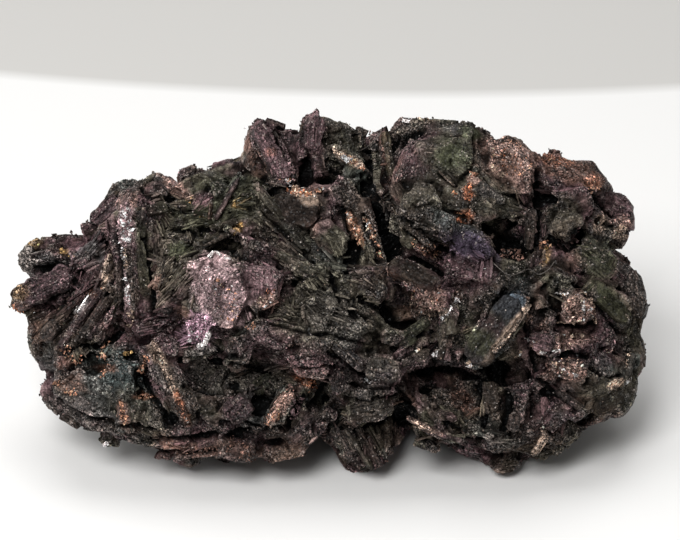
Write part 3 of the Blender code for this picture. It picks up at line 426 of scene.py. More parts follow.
# Holes on the face, cut into the mass and darkened black with painted shade: (u, v, radius along, radius
# across, turn, depth).
HOLES = [
    (-38.8, 3.4, 2, 1, 8, 2.4), (-13.5, 7.5, 0.9, 0.7, 20, 1.4), (-11.7, 5.3, 0.8, 0.7, 0, 1.4),
    (-4.9, 1.2, 0.7, 0.4, -10, 1), (-5, -1.5, 0.5, 0.4, 0, 0.8), (-3, 17.5, 0.8, 2.4, 0, 1.8),
    (0.2, 15.7, 0.45, 0.4, 0, 0.8), (-0.1, 13.5, 0.4, 0.4, 0, 0.8), (1.6, 11.7, 0.5, 0.4, 0, 0.8),
    (5.2, 14.5, 1, 1.1, 0, 1.4), (3.4, 5, 1.1, 2.4, -10, 1.6), (12, 22, 1.8, 0.7, 28, 1.2),
    (10.5, 20.5, 0.7, 0.5, 40, 1), (9.2, 2.6, 0.6, 1.6, 20, 1), (34.5, 8, 1, 1.1, 0, 1.4),
    (30.5, 12.8, 0.9, 0.8, 0, 1.4), (25.4, 6.6, 2.6, 1.7, -25, 2.4), (22.6, 8.4, 1, 0.6, 0, 1),
    (23.5, -11, 1.8, 1.2, 0, 1.8), (30.2, -14.2, 1, 0.8, 0, 1.2), (36, -17.8, 1.4, 0.6, 20, 1),
    (10.6, -17.4, 1.2, 2.4, 10, 1.4), (-13, -12.8, 0.7, 0.6, 0, 1), (-12.3, -14, 0.8, 0.6, 0, 1),
    (-9, -15.6, 1.6, 1.2, 20, 1.4), (-15.5, -9.4, 0.9, 0.6, 0, 1), (-12.4, -19.6, 1.9, 0.7, 10, 1.4),
    (-7.6, -20.9, 1.2, 0.6, 0, 1.2), (-27, -8.6, 1.1, 0.7, 0, 1.2), (-21.8, -17.8, 1.1, 1.1, 0, 1.4),
    (-34, -9.4, 1.6, 0.7, 20, 1.2), (-26, -12.4, 0.6, 2.2, 12, 1.2), (-2.6, -14.8, 0.5, 1.2, 10, 1),
    (3.4, -3, 1, 0.6, -30, 1), (20.6, -13.2, 0.6, 1.2, 0, 1.2), (24.9, -15.4, 0.6, 1.6, 0, 1.2),
    (14.2, -13.4, 1.4, 0.8, 0, 1.2), (17.4, -18.6, 1.6, 0.7, -20, 1.2), (20, -20.6, 1.6, 0.6, 0, 1.2),
]


def gap_depth(points, normals):
    """How deep each point lies in a gap or hole of the face, in mm; the mass is cut in and painted with
    shade by it.
    """
    deepest = np.zeros(len(points))
    place = points[:, :2]
    for half_width, depth, *line in GAPS:
        line = np.array(line)
        for start, end in zip(line[:-1], line[1:]):
            run = end - start
            t = np.clip((place - start) @ run / (run @ run), 0, 1)
            gap = np.hypot(*(place - start - t[:, None] * run).T) / half_width
            deepest = np.maximum(deepest, depth * np.clip(1.5 - gap, 0, 1))
    for *ellipse, depth in HOLES:
        deepest = np.maximum(deepest, depth * inside_place(points, ellipse, 0.5))
    return np.where((normals[:, 2] > PATCH_FRONT) & (points[:, 2] > FACE_BACK), deepest, 0)


# ------------------------ the grain

# The way the crystals run on the face: (u, v, heading in degrees).
GRAIN = [
    (-40, 0, 24), (-37, 6, 8), (-35, -2, 50), (-31, 0, 60), (-33, 7, 55), (-31, 11, 42), (-28, 5, 95),
    (-25.5, 4, 95), (-23, 13, -35), (-19, 12, 20), (-14, 12, 62), (-11.5, 13, 5), (-17, 7, 22),
    (-21, 2, 60), (-21, -3, 25), (-15, 0, 70), (-9, 1, 80), (-6, 8, -50), (-2, 5, -40), (-8, 19, -64),
    (-10, 21, 76), (-2, 21, 82), (1, 21, 110), (-5, 20, 60), (-3, 11, 8), (3, 12, -62), (5, 7, -70),
    (8, 17, 97), (9, 11, -64), (13, 17, 66), (17, 18, -34), (14, 22, -5), (20, 21, -22), (24, 17, -46),
    (13, 12, -10), (20, 12, -32), (19, 6, -25), (13, 7, -30), (25, 12, -30), (28, 9, 84), (33, 17, -16),
    (40, 11, -34), (33, 11, 12), (37, 10, 50), (38, 4, -34), (39, -1, -41), (43, -1, -80), (43, -9, 90),
    (34, -2, 0), (34, -7, 5), (30, -7, -16), (33, -10, -12), (26, -7, -66), (38, -7, 70), (41, -12, 35),
    (39, -15, 16), (23, -5, 52), (20, -9, -24), (21, 1, 62), (11, 2, -27), (14, -1, -14), (16, -5, 78),
    (12, -6, 25), (9, -8, 0), (1, -3, -22), (4, 1, -16), (3, -9, -40), (8, -10, -6), (6, -14, 12),
    (5, -20, -62), (8, -21, 90), (-3, -9, -8), (-8, -6, -12), (-12, -8, 70), (-17, -8, 5),
    (-22, -7, -18), (-17, -12, -34), (-22, -13, -58), (-29, -12, 34), (-34, -13, -24), (-28, -17, 78),
    (-36, -16, -33), (-39, -9, 0), (-33, -6, 48), (-26, -20, -17), (-17, -22, 4), (-12, -16, 30),
    (-6, -16, 60), (-9, -12, 36), (-2, -15, 88), (-2, -19, 46), (-12, -22, -14), (-6, -22, 12),
    (14, -19, -26), (18, -15, -46), (14, -21, -14), (23, -15, 98), (26, -16, 82), (30, -20, 56),
    (33, -16, -36), (25, -24, 12), (22, -20, -18), (37, -12, 60),
]
GRAIN_REACH = 2.2  # mm, how far one entry of the grain holds sway


def headings(points):
    """The direction in which the crystals run at each point, as unit vectors in the face."""
    u, v, degrees = np.array(GRAIN, float).T
    doubled = 2 * np.radians(degrees)
    gap = (points[:, 0:1] - u) ** 2 + (points[:, 1:2] - v) ** 2
    weight = np.exp(-gap / (2 * GRAIN_REACH**2)) + 1e-9 / (1 + gap)
    angle = np.arctan2(weight @ np.sin(doubled), weight @ np.cos(doubled)) / 2
    return np.stack([np.cos(angle), np.sin(angle), np.zeros(len(points))], 1)


def tangents(points, normals, rng, turn):
    """(along, across): the grain laid into the surface and turned at random, by any angle behind."""
    along = headings(points)
    loose = unit(rng.normal(size=(len(points), 3)))
    behind = (normals[:, 2] < -0.1)[:, None]
    along = np.where(behind, loose, along + turn * loose)
    along = unit(along - (along * normals).sum(1, keepdims=True) * normals)
    return along, np.cross(normals, along)


def thin_out(spots, spacing):
    """Indices of spots of which no two are nearer than the spacing."""
    taken, kept = {}, []
    steps = [(du, dv, dh) for du in (-1, 0, 1) for dv in (-1, 0, 1) for dh in (-1, 0, 1)]
    for index, spot in enumerate(spots.tolist()):
        cell = tuple(int(c // spacing) for c in spot)
        cells = (tuple(c + d for c, d in zip(cell, step)) for step in steps)
        if all(math.dist(spot, other) > spacing for near in cells for other in taken.get(near, ())):
            taken.setdefault(cell, []).append(spot)
            kept.append(index)
    return kept


def tree_of(spots):
    tree = kdtree.KDTree(len(spots))
    for index, spot in enumerate(spots):
        tree.insert(spot, index)
    tree.balance()
    return tree


class Mosaic:
    """Striated plates that tile the surface, each with its own heading, height and slope."""

    SPACING = 2.3  # mm between the plates' middles
    TRIES = 26000
    NEIGHBOURS = 9
    TURN = 0.3  # how far a plate turns from the grain at random
    HEIGHT = 0.22  # mm, up or down
    SLOPE = 0.12
    TONES = (0.72, 1.3)
    LENGTH_PULL = 0.38  # a plate's length counts this much when a point picks its plate

    def __init__(self, surface, rng):
        spots, normals = surface.scatter(self.TRIES, rng)
        kept = thin_out(spots, self.SPACING)
        self.spots, self.normals = spots[kept], normals[kept]
        self.along, self.across = tangents(self.spots, self.normals, rng, self.TURN)
        count = len(self.spots)
        self.height = rng.uniform(-self.HEIGHT, self.HEIGHT, count)
        self.slope = rng.uniform(-self.SLOPE, self.SLOPE, (count, 2))
        self.tone = rng.uniform(*self.TONES, count)
        self.phase = rng.uniform(0, 100, count)
        self.tree = tree_of(self.spots)

    def look_up(self, points):
        """For each point: (plate, how far it is from the plate's rim, along, across) in mm."""
        near = np.array([[i for _, i, _ in self.tree.find_n(p, self.NEIGHBOURS)] for p in points])
        offset = points[:, None, :] - self.spots[near]
        along = (offset * self.along[near]).sum(2)
        across = (offset * self.across[near]).sum(2)
        depth = (offset * self.normals[near]).sum(2)
        pull = np.sqrt((self.LENGTH_PULL * along) ** 2 + across**2 + depth**2)
        order = np.argsort(pull, 1)
        rows = np.arange(len(points))
        first, second = order[:, 0], order[:, 1]
        rim = pull[rows, second] - pull[rows, first]
        return near[rows, first], rim, along[rows, first], across[rows, first]


# ------------------------ the material

# Scales of the crust's patterns, per metre; the streaks' is per mm across a crystal.
MOTTLE_SCALE = 420
FISSURE_SCALE = 420
SWIRL_SCALE = 1300
CRUMB_SCALE = 1800
FINE_SCALE = 3800
FLECK_SCALE = 4200
STREAK_SCALE = 3.2
STREAK_STRETCH = 0.12  # how much slower the streaks change along a crystal than across it
SWIRL_PUSH = 0.0013  # m, how far the swirl bends the crumbs
# Colours of the pale flecks, which stand partly for pale grains of the crust and partly for painted
# glints off tiny facets.
RUSTY_FLECK = (0.24, 0.15, 0.11, 1)
PALE_FLECK = (0.80, 0.71, 0.66, 1)
GLOSS = 0.36  # roughness of the glossiest crumbs
BUMP_DEPTH = 0.0005  # m


class Graph:
    """A material's nodes, linked as they are made."""

    def __init__(self, name):
        self.material = bpy.data.materials.new(name)
        self.material.use_nodes = True
        self.tree = self.material.node_tree
        self.surface = self.tree.nodes["Principled BSDF"].inputs
        self.place = self.add("ShaderNodeTexCoord").outputs["Object"]

    def plug(self, value, socket):
        """Links a node's output to the socket, or sets a plain value there."""
        if isinstance(value, bpy.types.NodeSocket):
            self.tree.links.new(value, socket)
        else:
            socket.default_value = value

    def add(self, kind, inputs=None, **settings):
        made = self.tree.nodes.new(kind)
        for key, value in settings.items():
            setattr(made, key, value)
        for key, value in (inputs or {}).items():
            self.plug(value, made.inputs[key])
        return made

    def spread(self, value, low, high, out_low, out_high):
        """Maps value from low..high to out_low..out_high, clamped."""
        limits = {"From Min": low, "From Max": high, "To Min": out_low, "To Max": out_high}
        return self.add("ShaderNodeMapRange", {"Value": value, **limits}).outputs["Result"]

    def calc(self, operation, a, b):
        return self.add("ShaderNodeMath", {0: a, 1: b}, operation=operation).outputs[0]

    def product(self, value, *others):
        for other in others:
            value = self.calc("MULTIPLY", value, other)
        return value

    def total(self, *terms):
        """The sum of (value, weight) pairs."""
        result = 0.0
        for value, weight in terms:
            parts = {0: value, 1: weight, 2: result}
            result = self.add("ShaderNodeMath", parts, operation="MULTIPLY_ADD").outputs[0]
        return result

    def blend(self, share, value):
        """The value where the share is 1, and 1 where it is 0."""
        return self.total((value, share), (self.calc("SUBTRACT", 1.0, share), 1.0))

    def scaled(self, colour, factor):
        scale = {0: colour, "Scale": factor}
        return self.add("ShaderNodeVectorMath", scale, operation="SCALE").outputs["Vector"]

    def mixed(self, factor, a, b):
        return self.add("ShaderNodeMix", {0: factor, 6: a, 7: b}, data_type="RGBA").outputs[2]

    def parts(self, colour):
        return self.add("ShaderNodeSeparateColor", {0: colour}).outputs

    def attribute(self, name):
        return self.add("ShaderNodeAttribute", attribute_name=name).outputs

    def waves(self, place, scale, detail, roughness=0.5):
        inputs = {"Vector": place, "Scale": scale, "Detail": detail, "Roughness": roughness}
        return self.add("ShaderNodeTexNoise", inputs).outputs

    def cells(self, place, scale, feature="F1"):
        inputs = {"Vector": place, "Scale": scale}
        return self.add("ShaderNodeTexVoronoi", inputs, feature=feature).outputs


class Crust(Graph):
    """Granular iron oxide with pale flecks; its tint carries painted shade in pits and clefts and
    painted light on crests.
    """

    def __init__(self, name):
        super().__init__(name)
        self.tint = self.attribute("tint")["Color"]
        self.fleck = self.attribute("fleck")["Fac"]
        self.streak = self.waves(self.attribute("grain")["Vector"], STREAK_SCALE, 3.0, 0.6)["Fac"]
        self.fine = self.waves(self.place, FINE_SCALE, 2.0, 0.7)["Fac"]
        self.crystal = self.cells(self.place, FLECK_SCALE)
        self.lot = self.parts(self.crystal["Color"])
        swirl = self.waves(self.place, SWIRL_SCALE, 2.0)["Color"]
        push = {0: swirl, 1: (SWIRL_PUSH,) * 3, 2: self.place}
        self.bent = self.add("ShaderNodeVectorMath", push, operation="MULTIPLY_ADD").outputs["Vector"]
        self.rim = self.cells(self.bent, CRUMB_SCALE, "DISTANCE_TO_EDGE")["Distance"]
        self.crumb = self.parts(self.cells(self.bent, CRUMB_SCALE)["Color"])
        self.rough = self.spread(self.fleck, 0.08, 0.5, 0.4, 1.0)
        self.crumbly = self.spread(self.fleck, 0.16, 0.5, 0.0, 1.0)
        tone = self.tone()
        mask = self.fleck_mask()
        self.plug(self.colour(tone, mask), self.surface["Base Color"])
        self.plug(self.spread(self.fine, 0.35, 0.65, GLOSS + 0.3, GLOSS), self.surface["Roughness"])
        self.plug(self.shine(tone), self.surface["Specular IOR Level"])
        self.plug(self.relief(mask), self.surface["Normal"])

    def tone(self):
        """How light the crust is at each place: mottled, streaked, and crumb by crumb."""
        mottle = self.waves(self.place, MOTTLE_SCALE, 3.0, 0.6)["Fac"]
        fissure = self.cells(self.bent, FISSURE_SCALE, "DISTANCE_TO_EDGE")["Distance"]
        flicker = self.product(
            self.spread(self.fine, 0.37, 0.63, 0.05, 2.3),
            self.spread(self.streak, 0.32, 0.66, 0.25, 1.75),
        )
        blocky = self.product(
            self.spread(self.crumb[0], 0.0, 1.0, 0.25, 2.4),
            self.spread(self.rim, 0.01, 0.16, 0.05, 1.0),
        )
        return self.product(
            self.spread(mottle, 0.3, 0.7, 0.75, 1.95),
            self.spread(fissure, 0.0, 0.05, 0.35, 1.0),
            self.blend(self.rough, flicker),
            self.blend(self.crumbly, blocky),
        )

    def fleck_mask(self):
        """Where pale flecks and whole pale crumbs show: partly the crust's own pale grains, partly
        painted glints.
        """
        chosen = self.calc("LESS_THAN", self.lot[0], self.spread(self.fleck, 0.12, 0.6, 0.005, 0.16))
        flecks = self.product(chosen, self.spread(self.crystal["Distance"], 0.32, 0.58, 0.95, 0.0))
        crumbs = self.product(
            self.calc("LESS_THAN", self.crumb[2], self.product(self.crumbly, 0.16)),
            self.spread(self.rim, 0.04, 0.12, 0.0, 0.8),
            self.spread(self.fine, 0.40, 0.60, 0.2, 1.0),
        )
        return self.calc("MAXIMUM", flecks, crumbs)

    def colour(self, tone, mask):
        warm = self.mixed(self.lot[1], RUSTY_FLECK, PALE_FLECK)
        pale = self.mixed(0.35, warm, self.scaled(self.tint, 3.0))
        return self.mixed(mask, self.scaled(self.tint, tone), pale)

    def shine(self, tone):
        """How strongly it reflects: more on light crumbs, and most on a few glints."""
        crumbs = self.product(self.spread(tone, 0.2, 1.0, 0.02, 0.55), self.crumbly)
        glint = self.product(self.calc("GREATER_THAN", self.lot[2], 0.86), self.rough)
        return self.total((crumbs, 1.0), (glint, 0.6), (self.rough, 0.06))

    def relief(self, mask):
        crusty = self.product(self.spread(self.rim, 0.0, 0.3, 0.0, 1.0), self.crumbly)
        grainy = self.product(self.fine, self.rough)
        height = self.total((grainy, 0.25), (self.streak, 0.3), (crusty, 0.9), (mask, 0.15))
        bump = {"Strength": 1.0, "Distance": BUMP_DEPTH, "Height": height}
        return self.add("ShaderNodeBump", bump).outputs["Normal"]


CRUST = Crust("turgite_crust").material

# ------------------------ meshes


def in_scene(name, data):
    made = bpy.data.objects.new(name, data)
    bpy.context.scene.collection.objects.link(made)
    return made


def above_floor(points):
    """Face points in the row frame and in metres, with none below the floor."""
    row = to_row(points)
    row[:, 2] = np.maximum(row[:, 2], 0)
    return row * MM


def dress(made, tint, fleck, grain):
    """Gives a piece the crust, what its nodes read at each point, and its place in the frame."""
    mesh = made.data
    rgba = np.concatenate([tint, np.ones((len(tint), 1))], 1)
    mesh.attributes.new("tint", "FLOAT_COLOR", "POINT").data.foreach_set("color", rgba.ravel())
    mesh.attributes.new("fleck", "FLOAT", "POINT").data.foreach_set("value", fleck)
    mesh.attributes.new("grain", "FLOAT_VECTOR", "POINT").data.foreach_set("vector", grain.ravel())
    mesh.polygons.foreach_set("use_smooth", np.full(len(mesh.polygons), False))
    mesh.materials.clear()
    mesh.materials.append(CRUST)
    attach(made, "root")


class Heap:
    """Many small crystals gathered into one piece."""

    def __init__(self):
        self.points, self.faces, self.tints, self.flecks, self.grains = [], [], [], [], []
        self.count = 0

    def add(self, points, faces, tint, fleck, grain):
        """points is (crystals, corners, 3), faces index one crystal's corners, and the rest is
        for each corner or can be spread over the corners."""
        crystals, corners = points.shape[:2]
        start = self.count + corners * np.arange(crystals)[:, None]
        for face in faces:
            self.faces += (start + np.asarray(face)).tolist()
        self.points.append(points.reshape(-1, 3))
        self.tints.append(np.broadcast_to(tint, points.shape).reshape(-1, 3))
        self.flecks.append(np.broadcast_to(fleck, points.shape[:2]).reshape(-1))
        self.grains.append(grain.reshape(-1, 3))
        self.count += crystals * corners

    def finish(self, name):
        mesh = bpy.data.meshes.new(name)
        mesh.from_pydata(above_floor(np.concatenate(self.points)).tolist(), [], self.faces)
        gathered = (np.concatenate(parts) for parts in (self.tints, self.flecks, self.grains))
        dress(in_scene(name, mesh), *gathered)


def bar_faces(rings, sides, capped=True):
    """The faces of a bar whose corners are given ring by ring."""
    last = sides * (rings - 1)
    faces = [tuple(reversed(range(sides)))] * capped
    for a in range(0, last, sides):
        for j in range(sides):
            k = (j + 1) % sides
            faces.append((a + j, a + k, a + sides + k, a + sides + j))
    return faces + [tuple(range(last, last + sides))] * capped


# ------------------------ the mass

MASS_GRAIN = 0.40  # mm, spacing of the mass's points in front
MASS_BEHIND = -0.15  # the mass is coarser where its normal points further back than this
MASS_TRIANGLES = 196000
SNAP = 0.6  # mm, a point of the mass is drawn to the CAD skin from no further than this
NODULE_SPACING = (1.7, 0.9)  # mm, large ones and small ones
NODULE_LIFT = (0.30, 0.22)  # mm
NODULE_TRIES = 30000
HOLLOW_DEPTH = 0.9
CLEFT = 0.35  # mm, how wide and how deep the clefts round the felt's plates are
RIDGES = 0.3  # mm, the height of the ridges on them
CREASE = 0.35  # mm, the depth of the creases
EVEN_ROUNDS = 14  # rounds of smoothing that even the mass out, to tell hollows from crests
# How the crust's tint follows its relief, per mm: painted shade in hollows and gaps, painted light on
# crests, and more pale flecks on crests.
HOLLOW_SHADE = 6.5
CREST_LIGHT = 3.4
CREST_FLECKS = 3.5
GAP_SHADE = 2.4


def modified(mesh, kind, marked=None, **settings):
    """A copy of the mesh after one modifier, which may act on the marked points only."""
    worked = in_scene("worked", mesh.copy())
    modifier = worked.modifiers.new("worked", kind)
    for setting, value in settings.items():
        setattr(modifier, setting, value)
    if marked is not None:
        worked.vertex_groups.new(name="marked").add(np.flatnonzero(marked).tolist(), 1.0, "REPLACE")
        modifier.vertex_group = "marked"
    graph = bpy.context.evaluated_depsgraph_get()
    made = bpy.data.meshes.new_from_object(worked.evaluated_get(graph))
    bpy.data.objects.remove(worked)
    return made


def face_normals(mesh):
    """The normal at each point, in face coordinates."""
    return numbers(mesh.vertex_normals, "vector", 3) @ FACE_AXES.T


def remeshed(mesh):
    """The mesh with small even triangles in front and larger ones behind."""
    even = modified(mesh, "REMESH", mode="VOXEL", voxel_size=MASS_GRAIN * MM)
    behind = face_normals(even)[:, 2] < MASS_BEHIND
    return modified(even, "DECIMATE", marked=behind, ratio=MASS_TRIANGLES / len(mesh_triangles(even)))


def drawn_to_skin(points):
    """Each point on the CAD skin, so that the crystals keep their edges."""
    drawn = points.copy()
    for index, point in enumerate(points):
        spot = SKIN.tree.find_nearest(point, SNAP)[0]
        if spot is not None:
            drawn[index] = spot
    return drawn


def evened(points, ends, rounds):
    """The points after rounds of moving each halfway to the middle of its neighbours."""
    count = np.bincount(ends.ravel(), minlength=len(points))[:, None]
    for _ in range(rounds):
        total = np.zeros_like(points)
        for axis in range(3):
            total[:, axis] = np.bincount(ends[:, 0], points[ends[:, 1], axis], len(points))
            total[:, axis] += np.bincount(ends[:, 1], points[ends[:, 0], axis], len(points))
        points = 0.5 * points + 0.5 * total / count
    return points


def nodule_lift(points, spacing, rng):
    """Rounded nodules packed side by side, 0 in the clefts and 1 on their tops."""
    spots, _ = SKIN.scatter(NODULE_TRIES, rng)
    spots = spots[thin_out(spots, spacing)]
    size = rng.uniform(0.7, 1.2, len(spots))
    tree = tree_of(spots)
    tops = np.empty(len(points))
    for index, point in enumerate(points):
        tops[index] = min(distance / size[other] for _, other, distance in tree.find_n(point, 3))
    return np.sqrt(np.clip(1 - (tops / (0.85 * spacing)) ** 2, 0, 1))


def felt_lift(plate, rim, along, across, mosaic):
    """Striated plates in relief, in mm."""
    lift = mosaic.height[plate]
    lift = lift + mosaic.slope[plate, 0] * along + mosaic.slope[plate, 1] * across
    places = np.stack([along * 0.25, across * 2.0, mosaic.phase[plate]], 1)
    lift = np.clip(lift, -0.7, 0.7) + RIDGES * noise_field(places, 1.0)
    return lift - CLEFT * np.clip(1 - rim / CLEFT, 0, 1)


def mass_relief(points, normals, cell, mosaic, rng):
    """How far each point of the mass is lifted, in mm."""
    felt = felted(points, normals)
    nodule = nodular(points, normals)
    lift = felt * felt_lift(*cell, mosaic)
    large, small = (nodule_lift(points, spacing, rng) for spacing in NODULE_SPACING)
    lift += nodule * (NODULE_LIFT[0] * large + NODULE_LIFT[1] * small - 0.3)
    creases = np.abs(noise_field(points, 0.34, 61))
    lift -= CREASE * np.clip(1 - creases / 0.06, 0, 1)
    hollows = np.clip(noise_field(points, 0.5, 17) - 0.34, 0, 1)
    lift -= HOLLOW_DEPTH * (0.4 + 0.6 * np.maximum(felt, nodule)) * hollows * 3
    busy = 0.3 + 0.7 * np.maximum(felt, nodule)
    return lift + busy * (0.16 * noise_field(points, 0.8, 3) + 0.12 * noise_field(points, 1.9, 5))


def build_mass(mosaic, rng):
    """The solid's own skin in relief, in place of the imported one."""
    mesh = remeshed(CAD.data)
    ends = numbers(mesh.edges, "vertices", 2, np.int32)
    points = evened(drawn_to_skin(to_face(numbers(mesh.vertices, "co", 3) / MM)), ends, 1)
    normals = face_normals(mesh)
    cell = mosaic.look_up(points)
    plate, _, along, across = cell
    tint, fleck = paint(points, normals)
    gap = gap_depth(points, normals)
    points = points + normals * (mass_relief(points, normals, cell, mosaic, rng) - gap)[:, None]
    crest = ((points - evened(points, ends, EVEN_ROUNDS)) * normals).sum(1)
    # Painted shade in hollows and gaps and painted light on crests, multiplied into the tint.
    shade = np.where(crest < 0, np.exp(HOLLOW_SHADE * crest), 1 + CREST_LIGHT * crest)
    shade *= np.exp(-GAP_SHADE * gap)
    tint = np.clip(tint * (mosaic.tone[plate] * np.clip(shade, 0.04, 2.8))[:, None], DARKEST, 1)
    fleck = fleck * np.clip(1 + CREST_FLECKS * crest, 0.2, 2.5)
    mesh.vertices.foreach_set("co", above_floor(points).ravel())
    mesh.update()
    made = in_scene("mass", mesh)
    dress(made, tint, fleck, np.stack([along * STREAK_STRETCH, across, mosaic.phase[plate]], 1))
    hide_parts("turgite_specimen")


# ------------------------ on the skin

ANYWHERE = -1  # mm, a height that is lower than all the skin
SKIN_FREE = 0.22  # mm, how far a crystal's end may stand clear of the skin
RIM_FREE = 0.08  # share of that clearance left where the skin turns away from the front
RIM_FACING = 0.4  # where the skin faces the front less than this it turns away, at the outline
RIM_SUNK = 0.2  # mm, small crystals lie this much deeper there
STREAK_ROOM = 50  # mm, each crystal takes its streaks from its own place within this


def sites(count, chance, lowest, deepest, rng):
    """(spots, normals) scattered on the skin and kept by chance, none of them lower over the floor
    than the lowest or in a gap as deep as the deepest."""
    spots, normals = SKIN.scatter(count, rng)
    keep = rng.random(count) < chance(spots, normals)
    keep &= (to_row(spots)[:, 2] > lowest) & (gap_depth(spots, normals) < deepest)
    return spots[keep], normals[keep]


def turned(along, across, normals, pitch, roll):
    """The crystals' axes after their far ends are lifted and they are rolled about their length."""
    pitch, roll = pitch[:, None], roll[:, None]
    x = along * np.cos(pitch) + normals * np.sin(pitch)
    up = normals * np.cos(pitch) - along * np.sin(pitch)
    y = across * np.cos(roll) + up * np.sin(roll)
    return x, y, np.cross(x, y)


def at_rim(normals):
    return np.abs(normals[:, 2:]) < RIM_FACING


def lies_close(centre, along, length):
    """Whether both ends of each crystal are near the skin, and within the outline from in front."""
    close = np.ones(len(centre), bool)
    for end in (-0.5, 0.5):
        tips = centre + along * (end * length)[:, None]
        for index, tip in enumerate(tips):
            spot, normal, _, _ = SKIN.tree.find_nearest(tip)
            free = SKIN_FREE * min(1, RIM_FREE + abs(normal.z))
            clear = Vector(tip) - spot
            close[index] &= clear.dot(normal) < -0.7 * clear.length or clear.length < free
            close[index] &= SKIN.seen(tip[0], tip[1]) is not None
    return close


def streaks(local, stretch, rng):
    """Where each crystal's points lie in its own place of the streaks, which run along it."""
    return local * (stretch, 1, 1) + rng.uniform(0, STREAK_ROOM, (len(local), 1, 3))


# ------------------------ the blocks

BLOCKS = 5000
BLOCK_LENGTH = (0.7, 3.2)
BLOCK_FLATNESS = (0.3, 0.65)
BLOCK_BREADTH = (0.5, 0.85)
BLOCK_REACH = np.array((-1, -0.62, 0.55, 1))  # its rings of corners, by its half length
BLOCK_GIRTH = np.array((0.42, 1, 0.95, 0.35))  # how wide each of them is
BLOCK_RINGS = len(BLOCK_REACH)
BLOCK_SIDES = 6
BLOCK_SUNK = (-0.55, -0.15)  # a block's middle above the skin, by its thickness
BLOCK_TURN = 0.5  # how far a block turns from the grain at random
BLOCK_TILT = (0.22, 0.35)  # radians, the spread of its pitch and of its roll
BLOCK_HELD = (0.95, 0.8)  # the shares of its length and breadth that have to lie on the skin
BLOCK_STRETCH = 0.3
BLOCK_LOWEST = 1.5  # mm above the floor
BLOCK_GAP = 0.2  # mm, no block lies in a gap that deep


def block_points(size, rng):
    """Broken tabular fragments round the origin: (blocks, rings * sides, 3)."""
    count = len(size)
    shape = (count, BLOCK_RINGS)
    ahead = BLOCK_REACH + rng.uniform(-0.16, 0.16, shape)
    girth = BLOCK_GIRTH * rng.uniform(0.8, 1.15, shape)
    turn = np.arange(BLOCK_SIDES) / BLOCK_SIDES * 2 * math.pi + rng.uniform(0, 1, (count, 1))
    turn = turn + rng.uniform(-0.3, 0.3, (count, BLOCK_SIDES))
    radius = rng.uniform(0.85, 1.12, (count, 1, BLOCK_SIDES)) * girth[:, :, None]
    points = np.empty((*shape, BLOCK_SIDES, 3))
    points[..., 0] = ahead[:, :, None] + 0.1 * rng.uniform(-1, 1, (*shape, BLOCK_SIDES))
    points[..., 1] = radius * np.cos(turn)[:, None]
    points[..., 2] = np.clip(1.3 * radius * np.sin(turn)[:, None], -1, 1)
    return points.reshape(count, -1, 3) * size[:, None] / 2


def block_chance(points, normals):
    """How likely a block is to stay at each point: more so where the skin is crusted."""
    return 0.1 + 0.7 * nodular(points, normals)


def build_blocks(rng):
    spots, normals = sites(BLOCKS, block_chance, BLOCK_LOWEST, BLOCK_GAP, rng)
    count = len(spots)
    length = rng.uniform(*BLOCK_LENGTH, count)
    breadth = length * rng.uniform(*BLOCK_BREADTH, count)
    size = np.stack([length, breadth, breadth * rng.uniform(*BLOCK_FLATNESS, count)], 1)
    along, across = tangents(spots, normals, rng, BLOCK_TURN)
    tilt = [rng.normal(0, spread, count) for spread in BLOCK_TILT]
    axes = turned(along, across, normals, *tilt)
    centre = spots + normals * (rng.uniform(*BLOCK_SUNK, count) * size[:, 2])[:, None]
    local = block_points(size, rng)
    keep = lies_close(centre, axes[0], BLOCK_HELD[0] * length)
    keep &= lies_close(centre, axes[1], BLOCK_HELD[1] * breadth)
    centre, normals, size, local = (part[keep] for part in (centre, normals, size, local))
    points = centre[:, None] + along_axes(local, *(axis[keep] for axis in axes))
    tint, fleck = paint(centre, normals)
    tint = tint * np.minimum(rng.lognormal(0.0, 0.5, len(tint)), 1.8)[:, None]
    # Painted shade at each block's foot, growing lighter towards its top.
    high = (local[..., 2] / size[:, 2:3] + 0.5)[..., None]
    tint = np.clip(tint[:, None] * (0.2 + 1.0 * high), DARKEST, 1)
    grain = streaks(local, BLOCK_STRETCH, rng)
    heap = Heap()
    heap.add(points, bar_faces(BLOCK_RINGS, BLOCK_SIDES), tint, fleck[:, None], grain)
    heap.finish("blocks")


# ------------------------ the felt

SHEAVES = 16000
SHEAF_TURN = 0.42  # how far a sheaf turns from the grain at random
SHEAF_TILT = (0.1, 0.35)  # radians, the spread of its pitch and of its roll
LATH_TILT = (0.05, 0.15)  # radians, what each of its laths adds to them
SHEAF_LATHS = (2, 7)  # parallel laths in one sheaf, from and to
CROSSING = 0.12  # share of the sheaves that lie athwart the grain
LATH_LENGTH = (1.0, 3.6)
LATH_WIDTH = (0.17, 0.42)
LATH_THICKNESS = (0.3, 0.5)
LATH_RINGS = 3
LATH_TAPER = 0.55
LATH_WOBBLE = 0.35
LATH_RAISED = (-0.2, 0.08)  # mm, a lath's middle above the skin
# Painted shade at a lath's foot and painted highlights along its upper edges.
LATH_PAINTED_LIGHT = np.array((0.16, 0.16, 1.4, 1.4))  # dark at its foot, paler along its upper edges
SHEAF_GAP = 0.3  # mm, no sheaf lies in a gap that deep
LATH_GAP = 0.5  # mm, and no lath of it in one that deep
LATH_LOWEST = 0.8  # mm above the floor
LATH_FLECKS = 0.4  # share of the skin's pale flecks that show on a lath
LATHS_A_PIECE = 9600


def sheaf_sites(rng):
    """Where the sheaves lie and how they run: (spots, normals, along, across)."""
    spots, normals = sites(SHEAVES, felted, ANYWHERE, SHEAF_GAP, rng)
    along, across = tangents(spots, normals, rng, SHEAF_TURN)
    swap = (rng.random(len(spots)) < CROSSING)[:, None]
    return spots, normals, np.where(swap, across, along), np.where(swap, -along, across)


